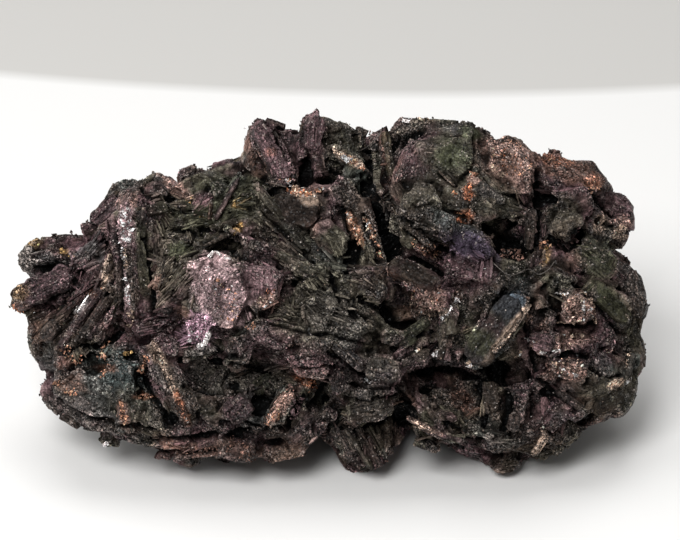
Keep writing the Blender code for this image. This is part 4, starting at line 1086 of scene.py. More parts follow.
def lath_sizes(sheaves, sheaf, rng):
    """(length of each lath's sheaf, (length, width, thickness) of each lath)."""
    count = len(sheaf)
    length = rng.uniform(*LATH_LENGTH, sheaves)
    length = (length * rng.choice((0.6, 1, 1.5), sheaves, p=(0.35, 0.5, 0.15)))[sheaf]
    width = rng.uniform(*LATH_WIDTH, sheaves)[sheaf] * rng.uniform(0.8, 1.2, count)
    own = length * rng.uniform(0.7, 1.1, count)
    return length, np.stack([own, width, rng.uniform(*LATH_THICKNESS, count)], 1)


def lath_sites(rng):
    """(middle of each lath, the skin's normal there, its axes, its size, its tone)."""
    places = sheaf_sites(rng)
    sheaves = len(places[0])
    laths = rng.integers(*SHEAF_LATHS, sheaves)
    sheaf = np.repeat(np.arange(sheaves), laths)
    count = len(sheaf)
    rank = np.arange(count) - np.repeat(np.cumsum(laths) - laths, laths) - (laths[sheaf] - 1) / 2
    spots, normals, along, across = (part[sheaf] for part in places)
    length, size = lath_sizes(sheaves, sheaf, rng)
    pitch = rng.normal(0.02, SHEAF_TILT[0], sheaves)[sheaf] + rng.normal(0, LATH_TILT[0], count)
    roll = rng.normal(0, SHEAF_TILT[1], sheaves)[sheaf] + rng.normal(0, LATH_TILT[1], count)
    x = unit(along + rng.normal(0, 0.08, count)[:, None] * across)
    axes = turned(x, np.cross(normals, x), normals, pitch, roll)
    centre = spots + across * (rank * size[:, 1] * 1.02)[:, None]
    centre += x * (rng.uniform(-0.2, 0.2, count) * length)[:, None]
    centre = np.array([SKIN.tree.find_nearest(point)[0] for point in centre])
    centre += normals * rng.uniform(*LATH_RAISED, count)[:, None]
    centre -= RIM_SUNK * normals * at_rim(normals)
    tone = rng.lognormal(-0.3, 0.55, sheaves)[sheaf] * rng.lognormal(0, 0.42, count)
    return centre, normals, axes, size, np.minimum(tone, 2.0)


def lath_points(centre, axes, size, rng):
    """Bars along their first axis, worn and bent a little: (points, the same round the origin)."""
    count = len(centre)
    shape = (count, LATH_RINGS)
    t = np.linspace(-1, 1, LATH_RINGS)[None] + rng.uniform(-0.4, 0.4, shape) / LATH_RINGS
    t[:, 0], t[:, -1] = -1, 1
    width = 1 - LATH_TAPER * np.abs(t) ** 3 + LATH_WOBBLE * rng.uniform(-1, 1, shape)
    sway = LATH_WOBBLE * rng.uniform(-0.5, 0.5, shape)
    rise = LATH_WOBBLE * rng.uniform(-0.5, 0.5, shape)
    across = np.array((-1, 1, 0.8, -0.8))
    up = np.array((-1, -1, 1, 1))
    half = size[:, None, None] / 2
    local = np.empty((*shape, 4, 3))
    local[..., 0] = t[..., None] * half[..., 0]
    local[..., 1] = (across * width[..., None] + sway[..., None]) * half[..., 1]
    local[..., 2] = (up * (0.6 + 0.4 * width[..., None]) + rise[..., None]) * half[..., 2]
    skew = 0.2 * rng.uniform(-1, 1, (count, 1, 4))
    local[..., 0] += skew * np.minimum(size[:, 1], 0.8)[:, None, None]
    local = local.reshape(count, -1, 3)
    return centre[:, None] + along_axes(local, *axes), local


def build_felt(rng):
    centre, normals, axes, size, tone = lath_sites(rng)
    keep = lies_close(centre, axes[0], size[:, 0]) & (to_row(centre)[:, 2] > LATH_LOWEST)
    keep &= gap_depth(centre, normals) < LATH_GAP
    centre, normals, size, tone = (part[keep] for part in (centre, normals, size, tone))
    points, local = lath_points(centre, [axis[keep] for axis in axes], size, rng)
    tint, fleck = paint(centre, normals)
    # Each lath gets painted shade at its foot and painted highlights on its upper edges.
    lath_painted_light = np.tile(LATH_PAINTED_LIGHT, LATH_RINGS)[None, :, None]
    tint = np.clip((tint * tone[:, None])[:, None] * lath_painted_light, DARKEST, 1)
    fleck = LATH_FLECKS * fleck[:, None]
    grain = streaks(local, STREAK_STRETCH, rng)
    for start in range(0, len(centre), LATHS_A_PIECE):
        part = slice(start, start + LATHS_A_PIECE)
        heap = Heap()
        heap.add(points[part], bar_faces(LATH_RINGS, 4), tint[part], fleck[part], grain[part])
        heap.finish(f"felt_{start // LATHS_A_PIECE + 1}")


# ------------------------ the crystals

PLATE_GRID = 0.22  # mm between the points of a crystal
PLATE_EDGE = 0.22  # mm, how far in from its rim a crystal stands at its full height
PLATE_SUNK = 0.75  # the share of its thickness by which a crystal is sunk into the mass
PLATE_STEP = 0.10  # mm, how much the strips of one crystal differ in height
PLATE_CUT = 0.16  # the most that a strip stops short of its crystal's end, as a share of its half
PLATE_STRETCH = 0.15
GROOVE = 0.14  # mm, half the width of the groove between two strips
BROAD = 1.7  # mm, a wider crystal has rounder ends
SLAB_TONE = 0.68  # how light a broad crystal in one strip is
STEEPEST = 1.7  # rise over run, a crystal leans back from the face no more than this

# The main crystals: (colour, u, v, length, width, thickness, heading, lift, strips).
CRYSTALS = [
    # the left tip and its fan
    ("plum", -39.8, 0.7, 9.8, 3.6, 1.2, 24, 0.1, 6), ("umber", -35.8, -3.7, 9, 1.5, 1, 54, 0.3, 3),
    ("plum", -34.1, -3.5, 10.5, 1.4, 1, 56, 0.3, 3), ("umber", -32.6, -3.9, 8.2, 1.3, 1, 55, 0.3, 3),
    ("plum", -31.4, -3.4, 8, 1.2, 1, 58, 0.3, 2), ("cream", -30.6, 3.4, 4.6, 0.5, 0.6, 78, 0.3, 1),
    ("umber", -31.9, 6, 3, 0.9, 0.8, 42, 0.3, 2), ("white", -33.8, -1.8, 2.7, 0.32, 0.35, 37, 0.5, 1),
    ("umber", -36, -3.4, 3.4, 0.35, 0.4, 35, 0.4, 1), ("plum", -31.2, 11.4, 5.8, 2.8, 1, 45, 0.1, 6),
    ("plum", -27.9, 12.8, 2.6, 2.4, 1.2, 42, 0.1, 3), ("olive", -25.7, 3.2, 8.6, 1.8, 1.2, 99, 0.2, 1),
    ("black", -25.6, 9.6, 4.6, 1.6, 1, 80, 0, 2), ("black", -23.9, 6, 6.4, 0.9, 1, 92, 0.1, 2),
    ("black", -22.6, 3, 5, 0.9, 1, 84, 0.1, 2), ("olive", -23.6, 11.6, 3.4, 1.8, 0.9, 14, 0.2, 1),
    ("mauve", -21.4, 14.8, 6, 1.3, 1, -42, 0.2, 2), ("mauve", -14, 12.9, 7.8, 0.8, 0.9, 62, 0.5, 2),
    ("rust", -16.2, 11.2, 2.8, 0.7, 0.7, 82, 0.4, 1), ("umber", -16, 7, 6.8, 0.9, 0.8, 26, 0.2, 2),
    ("green", -20.6, 6, 3.6, 2, 0.8, 62, 0.1, 2), ("umber", -14.4, 9.4, 5, 0.8, 0.7, 14, 0.2, 2),
    # middle and towers
    ("olive", -6.2, 10, 12, 1.5, 0.9, -52, 0.3, 3), ("olive", -5.2, 8, 4.8, 0.8, 0.8, -42, 0.2, 2),
    ("olive", -4.2, 4, 7, 0.9, 0.8, -30, 0.2, 2), ("rust", -10.3, 18, 3, 2.2, 1, 70, 0, 3),
    ("plum", -7.7, 19.4, 9.4, 2.4, 1.2, -62, 0.2, 2), ("umber", -7.4, 23.5, 3.2, 1.3, 1, -20, 0.1, 2),
    ("soot", -5.2, 19.8, 6.2, 2.4, 1, -76, 0, 1), ("umber", -0.4, 19, 3.2, 1, 0.8, 60, 0, 2),
    ("green", 8.4, 19.2, 6.8, 1.3, 0.9, 99, 0.1, 2), ("plum", -1.9, 22, 5.6, 2.7, 1.2, 83, 0.1, 3),
    ("plum", -1.4, 18.4, 3.6, 1.4, 1, 86, 0.1, 2), ("soot", -4.4, 11.4, 7.4, 4.6, 0.8, -8, 0, 1),
    # The white crystals here stand for white shards and also serve as painted glints off their facets.
    ("white", -16, 5.2, 1.6, 0.8, 0.8, 48, 0.2, 1), ("white", -15, 5.3, 1.4, 0.6, 0.7, -44, 0.2, 1),
    ("white", -13.8, 4.7, 1.1, 0.4, 0.5, -10, 0.2, 1), ("white", -19.1, -6.5, 1, 0.9, 0.8, 30, 0.3, 1),
    ("white", -17.4, -7.3, 1.3, 0.9, 0.6, 30, 0.4, 1), ("white", -16.6, -6.4, 2.4, 0.8, 0.8, 70, 0.4, 1),
    ("magenta", -17.9, -5.4, 2.6, 0.7, 0.8, 50, 0.2, 1),
    ("magenta", -16.4, -5, 2.4, 0.6, 0.8, 62, 0.2, 1),
    # the dome
    ("cream", 16.5, 15.5, 3.3, 0.32, 0.7, -44, 1, 1), ("black", 17, 15.9, 3, 0.5, 0.7, -44, 0.7, 1),
    ("olive", 17.8, 12, 3.6, 2, 0.8, -10, 0.1, 1), ("grey", 22.5, 13.5, 5, 2, 0.9, -32, 0.1, 3),
    ("olive", 23.6, 11.6, 4.2, 1.6, 0.9, -30, 0.1, 2),
    # right
    ("umber", 28, 8.5, 6.2, 1.3, 1, 86, 0.1, 2), ("cream", 30, 5, 2.6, 0.6, 0.6, 80, 0.3, 1),
    ("olive", 37, 6.5, 3.8, 2, 0.9, -34, 0.1, 3), ("green", 37.8, 3.6, 5, 2, 0.9, -38, 0, 3),
    ("grey", 36.5, 8.8, 1.9, 0.7, 0.6, -80, 0.3, 1), ("green", 39, -1.2, 8.6, 2.6, 1, -44, 0.1, 1),
    ("olive", 38.2, 2.6, 6.8, 2.2, 1, -35, 0, 2), ("umber", 43, 0, 7.6, 2.2, 1, -84, 0, 3),
    ("mauve", 29.3, -6.8, 4, 2.4, 1, -16, 0.1, 3), ("umber", 25.8, -7.3, 4.4, 1.2, 0.9, -70, 0.1, 2),
    ("plum", 38, -6.5, 3.2, 2.6, 1, 20, 0, 2), ("soot", 39, -15.4, 6.2, 3.2, 1, 22, 0, 1),
    ("umber", 42.3, -10, 4.2, 1, 0.8, 70, 0.1, 2), ("umber", 33.6, -14.8, 5, 1, 0.9, -36, 0.1, 2),
    # the slab and what leans on it
    ("soot", 23, -4.9, 11.6, 4.4, 1.4, 53, 0.3, 1), ("cream", 26.6, -3.4, 5.4, 0.5, 0.9, 56, 0.2, 1),
    ("cream", 23, -7.6, 4.4, 0.5, 0.9, 50, 0.2, 1), ("soot", 11.6, 2.6, 8, 3.2, 0.9, -24, 0.1, 1),
    ("cream", 16, -2.5, 2.4, 0.6, 0.7, 28, 0.4, 1), ("white", 16.6, -2.6, 1.6, 0.25, 0.5, 48, 0.2, 1),
    ("green", 12.2, -4.8, 4.6, 1.5, 1, 35, 0.2, 2), ("green", 10.8, -7, 4.2, 1.3, 1, 30, 0.1, 2),
    ("olive", 12, -9, 4.2, 1.3, 1, 20, 0.1, 2), ("umber", 15.6, -6.8, 5.6, 0.8, 0.9, 80, 0, 2),
    # lower right
    ("pink", 13.6, -18.6, 6.2, 0.9, 0.8, -26, 0.35, 1), ("mauve", 16.8, -20.1, 4, 0.9, 0.8, -14, 0.2, 1),
    ("umber", 14.2, -16.5, 3.6, 1.1, 0.8, -63, 0.1, 2), ("umber", 22.6, -14.6, 5.2, 2.4, 1, 96, 0.3, 2),
    ("soot", 26, -11.8, 3.2, 2.2, 1.2, 12, 0.1, 1), ("umber", 25.5, -18, 3.2, 1.6, 0.9, 80, 0.1, 2),
    ("cream", 29.6, -21, 2.8, 0.9, 0.8, 52, 0.1, 1),
    # lower middle
    ("umber", 2.7, -9.1, 5.6, 0.9, 0.8, -41, 0.2, 2), ("cream", 3.1, -8.7, 5, 0.2, 0.3, -41, 0.5, 1),
    ("umber", 1.6, -12, 3.6, 2, 0.9, 80, 0.1, 3), ("olive", 7.5, -10.5, 5.2, 3.2, 1, -6, 0, 3),
    ("grey", 5, -13.8, 2.8, 1.5, 0.9, -10, 0.1, 1), ("umber", 4.8, -16.2, 4.2, 2.2, 0.9, 12, 0, 3),
    ("olive", 7.9, -15.6, 3.8, 2.2, 0.9, 10, 0, 2), ("olive", 1.8, -21.4, 6.4, 1, 0.9, -62, 0.1, 2),
    ("umber", 3, -21.8, 7.2, 1, 0.9, -59, 0.1, 2), ("olive", 4.3, -21.9, 7.4, 1, 0.9, -57, 0.2, 2),
    ("umber", 5.6, -21.5, 7, 1, 0.9, -59, 0.1, 2), ("olive", 6.9, -21, 6, 1, 0.9, -62, 0.1, 2),
    ("green", -9, -12.5, 4.6, 2.2, 0.9, 36, 0.1, 4), ("plum", -12.5, -16, 4.2, 3.4, 1, 40, 0, 3),
    ("olive", -17, -11.5, 4.8, 3.6, 0.9, -34, 0, 2), ("umber", -7, -19.8, 4.2, 0.9, 0.8, 8, 0.1, 2),
    # lower left
    ("cream", -23.4, -8.4, 3.8, 1.1, 0.9, -58, 0.2, 2),
    ("cream", -21.7, -12, 4.6, 0.7, 0.9, -70, 0.3, 1),
    ("orange", -20.4, -14.8, 2.8, 0.6, 0.8, -58, 0.3, 1),
    ("umber", -19.3, -17, 3.4, 0.5, 0.8, -66, 0.3, 1),
    ("grey", -23.3, -11.8, 4.4, 1.6, 0.9, -62, 0.1, 2),
    ("umber", -38.7, -15.8, 4, 1.1, 0.9, -48, 0.2, 2), ("umber", -36.2, -18, 3.4, 1.1, 0.9, -31, 0.2, 2),
    ("umber", -33.5, -19, 3.4, 1, 0.9, -6, 0.1, 2), ("umber", -26, -19.8, 4.6, 1.1, 0.9, -22, 0.1, 2),
    ("rust", -20.4, -21.5, 5.6, 0.8, 0.8, 3, 0.1, 1), ("rust", -16.9, -22.6, 5, 0.7, 0.8, 6, 0.1, 1),
    ("grey", -38.9, -8.8, 2.8, 0.4, 0.6, -4, 0.3, 1), ("umber", -38.7, -9.5, 3, 0.5, 0.6, 0, 0.3, 1),
    ("umber", -38.4, -10.2, 2.8, 0.5, 0.6, 4, 0.2, 1), ("rust", -40.8, -5.2, 3.2, 2.2, 1.4, -60, 0.2, 2),
    ("umber", -40.3, -3.7, 3.8, 2.6, 1.8, 30, 0.2, 3), ("umber", -38.6, -5.6, 3.6, 2.2, 1.4, 50, 0.2, 3),
    ("white", -31.1, -21.3, 1.1, 0.8, 0.7, 30, 0.1, 1),
]


def seat(u, v, length, width, heading):
    """Middle and axes of a plate laid on the surface under it."""
    angle = math.radians(heading)
    along = Vector((math.cos(angle), math.sin(angle), 0))
    across = Vector((-along.y, along.x, 0))
    middle = Vector((u, v, 0))

    def height(offset):
        place = middle + offset
        return SKIN.front(place.x, place.y).z

    def steepness(reach_out, run):
        return max(-STEEPEST, min(STEEPEST, (height(reach_out) - height(-reach_out)) / run))

    rise = steepness(along * length * 0.35, length * 0.7)
    lean = steepness(across * width * 0.3, width * 0.6)
    middle.z = sorted(height(along * length * k) for k in (-0.3, -0.15, 0, 0.15, 0.3))[2]
    x = (along + Vector((0, 0, rise))).normalized()
    y = across + Vector((0, 0, lean))
    z = x.cross(y).normalized()
    return np.array(middle), np.array((x, z.cross(x), z))


def plate_faces(rows, columns):
    """Quads over the grid of a crystal, and one face under it."""
    faces = []
    for row in range(rows - 1):
        for column in range(columns - 1):
            a = row * columns + column
            faces.append((a, a + columns, a + columns + 1, a + 1))
    rim = list(range(columns)) + [row * columns + columns - 1 for row in range(1, rows)]
    rim += [(rows - 1) * columns + column for column in reversed(range(columns - 1))]
    rim += [row * columns for row in reversed(range(1, rows - 1))]
    return faces + [tuple(rim)]


class Plate:
    """One broken, striated crystal round the origin: its points, and how light each is."""

    def __init__(self, length, width, thickness, strips, rng):
        self.length, self.width, self.thickness, self.strips = length, width, thickness, strips
        self.broad = width > BROAD
        self.slab = strips == 1 and self.broad
        self.rows = max(7, round(length / PLATE_GRID))
        self.columns = max(6, round(width / PLATE_GRID) + strips)
        lines = np.linspace(-1, 1, self.rows), np.linspace(-1, 1, self.columns)
        self.s, self.t = (grid.ravel() for grid in np.meshgrid(*lines, indexing="ij"))
        self.seed = rng.uniform(0, 100)
        self.strip, self.groove = self.split(rng.uniform(0.4, 1.6, strips))
        self.rim = np.minimum((1 - np.abs(self.s)) * length / 2, (1 - np.abs(self.t)) * width / 2)
        self.rise = np.sqrt(np.clip(self.rim / PLATE_EDGE, 0, 1))
        self.striae = self.rough(0.22, 1.4, 9)
        self.crumbs = self.rough(0.9, 0.9, 13)
        self.points = self.shape(rng)
        self.light = self.lightness(rng.uniform(0.75, 1.25, strips)[self.strip])

    def rough(self, along, across, shift):
        """Noise over the crystal, with that many waves per mm along it and across."""
        seeds = np.full(len(self.s), self.seed + shift)
        place = [self.s * self.length * along, self.t * self.width * across, seeds]
        return noise_field(np.stack(place, 1), 1.0)

    def split(self, share):
        """(the strip that each point belongs to, how deep in a groove it is, 0 to 1)."""
        bounds = np.cumsum(share)[:-1] / share.sum() * 2 - 1
        place = self.t + 0.12 * self.rough(0.25, 0, 1)
        groove = np.zeros(len(self.s))
        for bound in bounds:
            away = np.abs(place - bound) * self.width / 2
            groove = np.maximum(groove, np.clip(1 - away / GROOVE, 0, 1))
        return np.searchsorted(bounds, place), groove

    def shape(self, rng):
        cut = rng.uniform(0, PLATE_CUT, (self.strips, 2))[self.strip, (self.s > 0).astype(int)]
        cut = cut + 0.08 * self.rough(0, 0.5, 29)
        roundness, ragged = (9, 0.30) if self.broad else (14, 0.16)
        girth = np.sqrt(1 - 0.97 * np.abs(self.s) ** roundness) + ragged * self.rough(0.35, 0.2, 5)
        relief = (0.05 if self.strips == 1 else 0.10) * self.striae + 0.05 * self.crumbs
        relief = relief - 0.16 * self.groove
        step = PLATE_STEP * rng.uniform(-1, 1, self.strips)[self.strip]
        x = self.s * self.length / 2 * (1 - cut) + 0.10 * self.rough(0.2, 2.2, 17)
        y = self.t * self.width / 2 * girth + 0.08 * self.rough(1.2, 0.2, 21)
        z = self.thickness * (self.rise - PLATE_SUNK) + self.rise * (step + relief)
        return np.stack([x, y, z], 1)

    def lightness(self, tone):
        """Painted shade at the sunk rim and in the grooves, a painted highlight along the lip, and paler
        striae.
        """
        lip_highlight = np.exp(-(((self.rim - PLATE_EDGE) / 0.15) ** 2)) * (0.5 + self.rough(0.5, 0.5, 25))
        if self.slab:
            tone = SLAB_TONE
        shaded_tone = tone * (0.2 + 0.65 * self.rise) * (1 - 0.8 * self.groove)
        return np.clip(shaded_tone * (1 + 0.8 * self.striae + 0.6 * self.crumbs + 0.6 * lip_highlight), 0.05, 2)


def build_crystals(rng):
    heap = Heap()
    for name, u, v, length, width, thickness, heading, lift, strips in CRYSTALS:
        middle, axes = seat(u, v, length, width, heading)
        plate = Plate(length, width, thickness, strips, rng)
        points = middle + lift * axes[2] + plate.points @ axes
        under, crumbs = paint(points, np.tile(axes[2], (len(points), 1)))
        # plate.light carries the plate's painted shade and painted lip highlight; white crystals, partly
        # painted glints themselves, keep full lightness without that shade.
        light, own = plate.light, PALETTE[name][1]
        if name == "white":
            light, under = np.maximum(light, 1.0), albedo(name)
        tint = np.clip(light[:, None] * (0.5 * under + 0.5 * albedo(name)), DARKEST, BRIGHTEST)
        grain = streaks(plate.points[None], PLATE_STRETCH, rng)
        fleck = own if plate.slab else 0.5 * crumbs + 0.5 * own
        heap.add(points[None], plate_faces(plate.rows, plate.columns), tint, fleck, grain)
    heap.finish("crystals")


# ------------------------ the grains

GRAINS = 30000
GRAIN_SIZE = (0.12, 0.34)  # mm, their radius
GRAIN_RAISED = (-0.15, 0.1)  # mm, a grain's middle above the skin
PALE_GRAINS = (1.6, 4.0)  # how much lighter than the skin the pale ones are
BRIGHTEST_GRAIN = 0.8
GRAIN_LOWEST = 1.0  # mm above the floor
GRAIN_GAP = 0.3  # mm, no grain lies in a gap that deep
SHARD = np.array((1.3, 0.85, 0.6))
OCTAHEDRON = np.array([(1, 0, 0), (-1, 0, 0), (0, 1, 0), (0, -1, 0), (0, 0, 1), (0, 0, -1)])
OCTA_FACES = [(0, 2, 4), (2, 1, 4), (1, 3, 4), (3, 0, 4), (2, 0, 5), (1, 2, 5), (3, 1, 5), (0, 3, 5)]

# Coloured grains in crusts, the white ones partly painted glints: (colour, u, v, length, width, heading,
# how many, their radius).
CLUSTERS = [
    ("orange", 19.3, 13.7, 2.6, 1.1, 84, 46, 0.24), ("orange", 18.8, 10.3, 2.2, 1.9, 0, 46, 0.25),
    ("orange", 17.3, 13.5, 0.9, 0.8, 0, 10, 0.2), ("peach", 19.9, 15.6, 2, 1, 80, 26, 0.24),
    ("ochre", -12.4, 9, 1.6, 0.8, 70, 18, 0.3), ("ochre", -12.8, 12, 1, 0.7, 0, 10, 0.24),
    ("ochre", -17.2, 10.5, 1.4, 0.8, 0, 9, 0.18), ("ochre", -19.3, 12.8, 1.2, 0.8, 0, 8, 0.18),
    ("ochre", -41.2, 6.9, 1.6, 0.8, 0, 12, 0.2), ("ochre", -37, 5.7, 1, 0.8, 0, 10, 0.24),
    ("ochre", -35.8, 5, 1, 0.6, 0, 6, 0.18), ("orange", -32.5, -0.3, 1.6, 0.5, 36, 18, 0.18),
    ("orange", -43.4, -2.3, 1.8, 1, -30, 30, 0.22), ("cream", -8.3, -1.4, 2.8, 1.4, -20, 40, 0.2),
    ("orange", -8, 0.2, 1.4, 1.4, 0, 12, 0.16), ("peach", -10.6, -4.6, 1.4, 0.9, 0, 16, 0.2),
    ("peach", -3.4, 13.4, 3.8, 1.7, -32, 70, 0.27), ("cream", -3.4, 13.5, 3.6, 1.6, -32, 60, 0.27),
    ("white", -3.2, 13.4, 3, 1.2, -32, 18, 0.24), ("white", -1, 14.3, 0.8, 0.5, 0, 8, 0.22),
    ("peach", -1.2, 14.2, 1.2, 0.7, 0, 16, 0.2), ("orange", -7.8, 19.2, 2.2, 0.6, -62, 30, 0.18),
    ("cream", -9.6, 21.6, 2.6, 0.5, -50, 20, 0.2), ("white", -5.4, 15.2, 1.2, 0.9, -50, 16, 0.2),
    ("orange", -4.2, 13.9, 3.2, 0.8, -10, 40, 0.22), ("peach", -6, 15.8, 1.8, 1.2, -40, 26, 0.24),
    ("cream", 2.6, 18.7, 4.4, 0.9, -28, 34, 0.2), ("white", 2.7, 18.5, 1.4, 0.7, -25, 18, 0.26),
    ("peach", 3.6, 18, 3.4, 1, -34, 44, 0.22), ("peach", 3.4, 9.4, 3.8, 1.1, -66, 90, 0.25),
    ("cream", 3.3, 9.6, 3.2, 0.9, -66, 36, 0.25), ("white", 3.2, 9.9, 2.2, 0.6, -66, 12, 0.22),
    ("peach", 4.4, 7.2, 1.8, 0.9, -70, 50, 0.22), ("cream", 6, 8.6, 4.4, 0.9, -60, 24, 0.22),
    ("peach", 6, 8.4, 4.4, 0.8, -60, 36, 0.22), ("white", 5.8, 9.2, 3, 0.6, -60, 8, 0.2),
    ("peach", 7.1, 5.2, 1.2, 0.8, -60, 14, 0.22), ("orange", -3, -12.4, 3.6, 1.2, -20, 42, 0.18),
    ("peach", -36, -13.2, 3.4, 1.4, -30, 44, 0.22), ("peach", -30.8, -10.4, 2.8, 0.9, 76, 30, 0.2),
    ("peach", -25.2, -10, 2.6, 1.2, 72, 34, 0.22), ("peach", -25.2, -14.3, 2.2, 0.8, 0, 24, 0.2),
    ("cream", -23.5, -8.6, 3.2, 1.4, -58, 46, 0.22), ("cream", -21.9, -11.6, 4.2, 0.9, -70, 44, 0.2),
    ("peach", -20.4, -14.8, 3.4, 0.8, -58, 34, 0.2), ("white", -19.2, -17.8, 1.6, 0.5, -60, 12, 0.18),
    ("peach", -28.3, -16.8, 3.2, 0.9, -74, 44, 0.22), ("peach", 13.6, 6, 4.6, 1.8, -28, 30, 0.2),
    ("rust", 33, 18.2, 6.4, 1.6, -14, 90, 0.22), ("rust", 25.4, 5.2, 3.4, 1.6, -10, 80, 0.2),
    ("white", 33, -0.2, 3.2, 0.25, -4, 44, 0.17), ("white", 35.3, -2.4, 0.3, 3, 0, 40, 0.17),
    ("cream", 33.4, -4.1, 3.4, 0.3, 4, 40, 0.17), ("white", 30.8, -8.2, 3.4, 0.4, 8, 54, 0.19),
    ("cream", 34.8, -7, 2.6, 0.4, 10, 40, 0.19), ("white", 28.3, -6.7, 2.4, 0.3, -20, 30, 0.17),
    ("cream", 26.4, -8.6, 1.4, 0.4, 40, 24, 0.17), ("white", 14.9, -8.4, 1.2, 0.6, 30, 40, 0.2),
    ("cream", 13.2, -2.9, 3.4, 0.3, -16, 44, 0.17), ("white", 16.1, -3, 1.6, 0.7, 50, 44, 0.18),
    ("white", 41.9, -12.4, 1.2, 0.4, 40, 24, 0.18), ("white", 33.2, -11, 2.6, 0.4, -30, 34, 0.17),
    ("orange", 31.6, 18.4, 3, 0.9, -10, 26, 0.18), ("peach", 25.4, 18.6, 6, 4.6, -40, 90, 0.18),
    ("orange", 25.6, 18, 5, 3, -40, 30, 0.16), ("cream", 23.2, 16.9, 2.6, 0.8, -40, 24, 0.2),
    ("peach", 36.8, 14.8, 2.6, 2.2, -40, 30, 0.22), ("pink", 33.5, -10.6, 4.6, 3, -12, 80, 0.25),
    ("cream", 33.2, -10.2, 4.4, 2.6, -12, 50, 0.2), ("white", 32.6, -11.6, 2.6, 0.8, -12, 10, 0.18),
    ("cream", 34.2, -0.2, 3.6, 0.6, 6, 30, 0.2), ("pink", 34.6, -2.2, 4.4, 3, 0, 80, 0.24),
    ("cream", 34.8, -1.8, 4.2, 2.8, 0, 60, 0.2), ("white", 36, -2.8, 2.4, 1.2, -60, 20, 0.22),
    ("cream", 36.8, -2.6, 3.8, 0.6, -80, 34, 0.2), ("cream", 33.6, -6, 4.8, 0.7, 5, 36, 0.2),
    ("cream", 31.6, -7.8, 3.4, 0.6, 0, 24, 0.2), ("pink", 29.4, -7, 3.2, 2.2, -16, 50, 0.22),
    ("cream", 30.4, -8, 3.6, 0.8, -10, 24, 0.2), ("cream", 39.8, -12.7, 2.2, 0.9, 20, 28, 0.24),
    ("cream", 42, -9.6, 2.6, 0.8, 70, 24, 0.2), ("pink", 13.6, -1, 4.4, 3.2, -10, 80, 0.24),
    ("cream", 13.4, -1.6, 4.2, 2.4, -10, 50, 0.2), ("orange", 13.4, -0.4, 3.6, 2, -10, 16, 0.18),
    ("white", 17, -2, 3, 0.7, 48, 26, 0.22), ("cream", 15, -3, 2.6, 0.8, 30, 24, 0.22),
    ("cream", 15.2, -8.2, 2.2, 1.2, 78, 22, 0.2), ("white", 15.2, -8.3, 1.3, 0.9, 20, 26, 0.24),
    ("white", 24.4, -5.6, 7.6, 0.5, 52, 40, 0.2), ("cream", 24.2, -5.9, 10, 0.9, 52, 110, 0.26),
    ("cream", 20.4, -9.6, 2.6, 1.1, 16, 40, 0.26), ("white", 20, -9.9, 1.6, 0.6, 16, 12, 0.22),
    ("cream", -6.8, -15.6, 5.2, 1.2, 56, 44, 0.2), ("pink", -6.4, -15.2, 5.4, 1.8, 56, 80, 0.22),
    ("peach", -7.2, -16.2, 3.6, 1, 56, 30, 0.2), ("peach", -7.8, -17.4, 2.6, 1.4, 40, 40, 0.24),
    ("mauve", -4.4, -15.8, 3.6, 1.4, 76, 60, 0.24), ("cream", 41.2, 8.4, 1.8, 1.6, 0, 26, 0.22),
    ("ochre", 30.2, 5.2, 2.2, 0.9, 80, 16, 0.2), ("peach", 30, 6.6, 2, 1.6, 0, 20, 0.2),
    ("cream", 37.6, 10, 2, 1.2, 40, 24, 0.2), ("rust", -17.4, -21.8, 9, 1.3, 2, 110, 0.2),
    ("rust", -12, -21.8, 4.6, 1.8, -50, 80, 0.24), ("rust", 18.8, -15.2, 3.6, 2.8, -46, 60, 0.24),
    ("cream", 22, 3.3, 0.8, 0.6, 0, 6, 0.25), ("white", -11.4, 23, 0.5, 0.4, 0, 3, 0.2),
    # The white grains at (11, 24) are a painted highlight on the top edge.
    ("white", 11, 24, 1.6, 0.6, 20, 16, 0.2), ("cream", 13.6, 23.9, 2.2, 0.6, -14, 18, 0.2),
    ("lilac", -28, 9.2, 5.8, 2.2, 93, 170, 0.34), ("white", -27.9, 9.4, 5, 1.5, 93, 80, 0.32),
    ("cream", -27.9, 4.6, 3.2, 0.5, 96, 24, 0.24), ("lilac", -27.8, 0, 4, 0.7, 98, 44, 0.26),
    ("white", -27.7, 0.2, 3.8, 0.6, 98, 34, 0.26), ("white", -28.2, 5, 2.4, 0.6, 98, 16, 0.24),
    ("cream", -27.3, -3.6, 2.6, 0.9, 80, 24, 0.2), ("cream", -37.4, -4.4, 1.6, 1, 0, 16, 0.2),
    ("cream", -33.2, -2.9, 1.4, 0.7, 0, 12, 0.2), ("peach", -35.6, -8.6, 3.6, 2, -30, 44, 0.22),
    ("peach", -31, -8, 3, 1.2, 60, 24, 0.2), ("ochre", -27.7, -8.5, 1.2, 0.7, 0, 14, 0.24),
    ("magenta", -17.6, -4.8, 3.4, 2.6, 60, 90, 0.24), ("white", -17.6, -4.6, 3, 2.4, 60, 20, 0.2),
    ("lilac", -15.2, 0.4, 7.6, 5.6, 100, 110, 0.16), ("white", -15, 0.6, 7, 5, 110, 30, 0.14),
    ("peach", -14, -1, 6, 4, 110, 60, 0.15), ("white", 5.8, -12.2, 1.6, 0.7, 10, 16, 0.24),
    ("white", 6.9, -12, 0.8, 0.5, 0, 6, 0.2), ("cream", 12.7, -7.8, 1.2, 0.8, 0, 12, 0.2),
    ("cream", 39, -8.2, 1, 0.6, 0, 8, 0.2), ("cream", 29.7, -19, 0.7, 0.6, 0, 7, 0.26),
]
CLUSTER_FLECK = 0.3


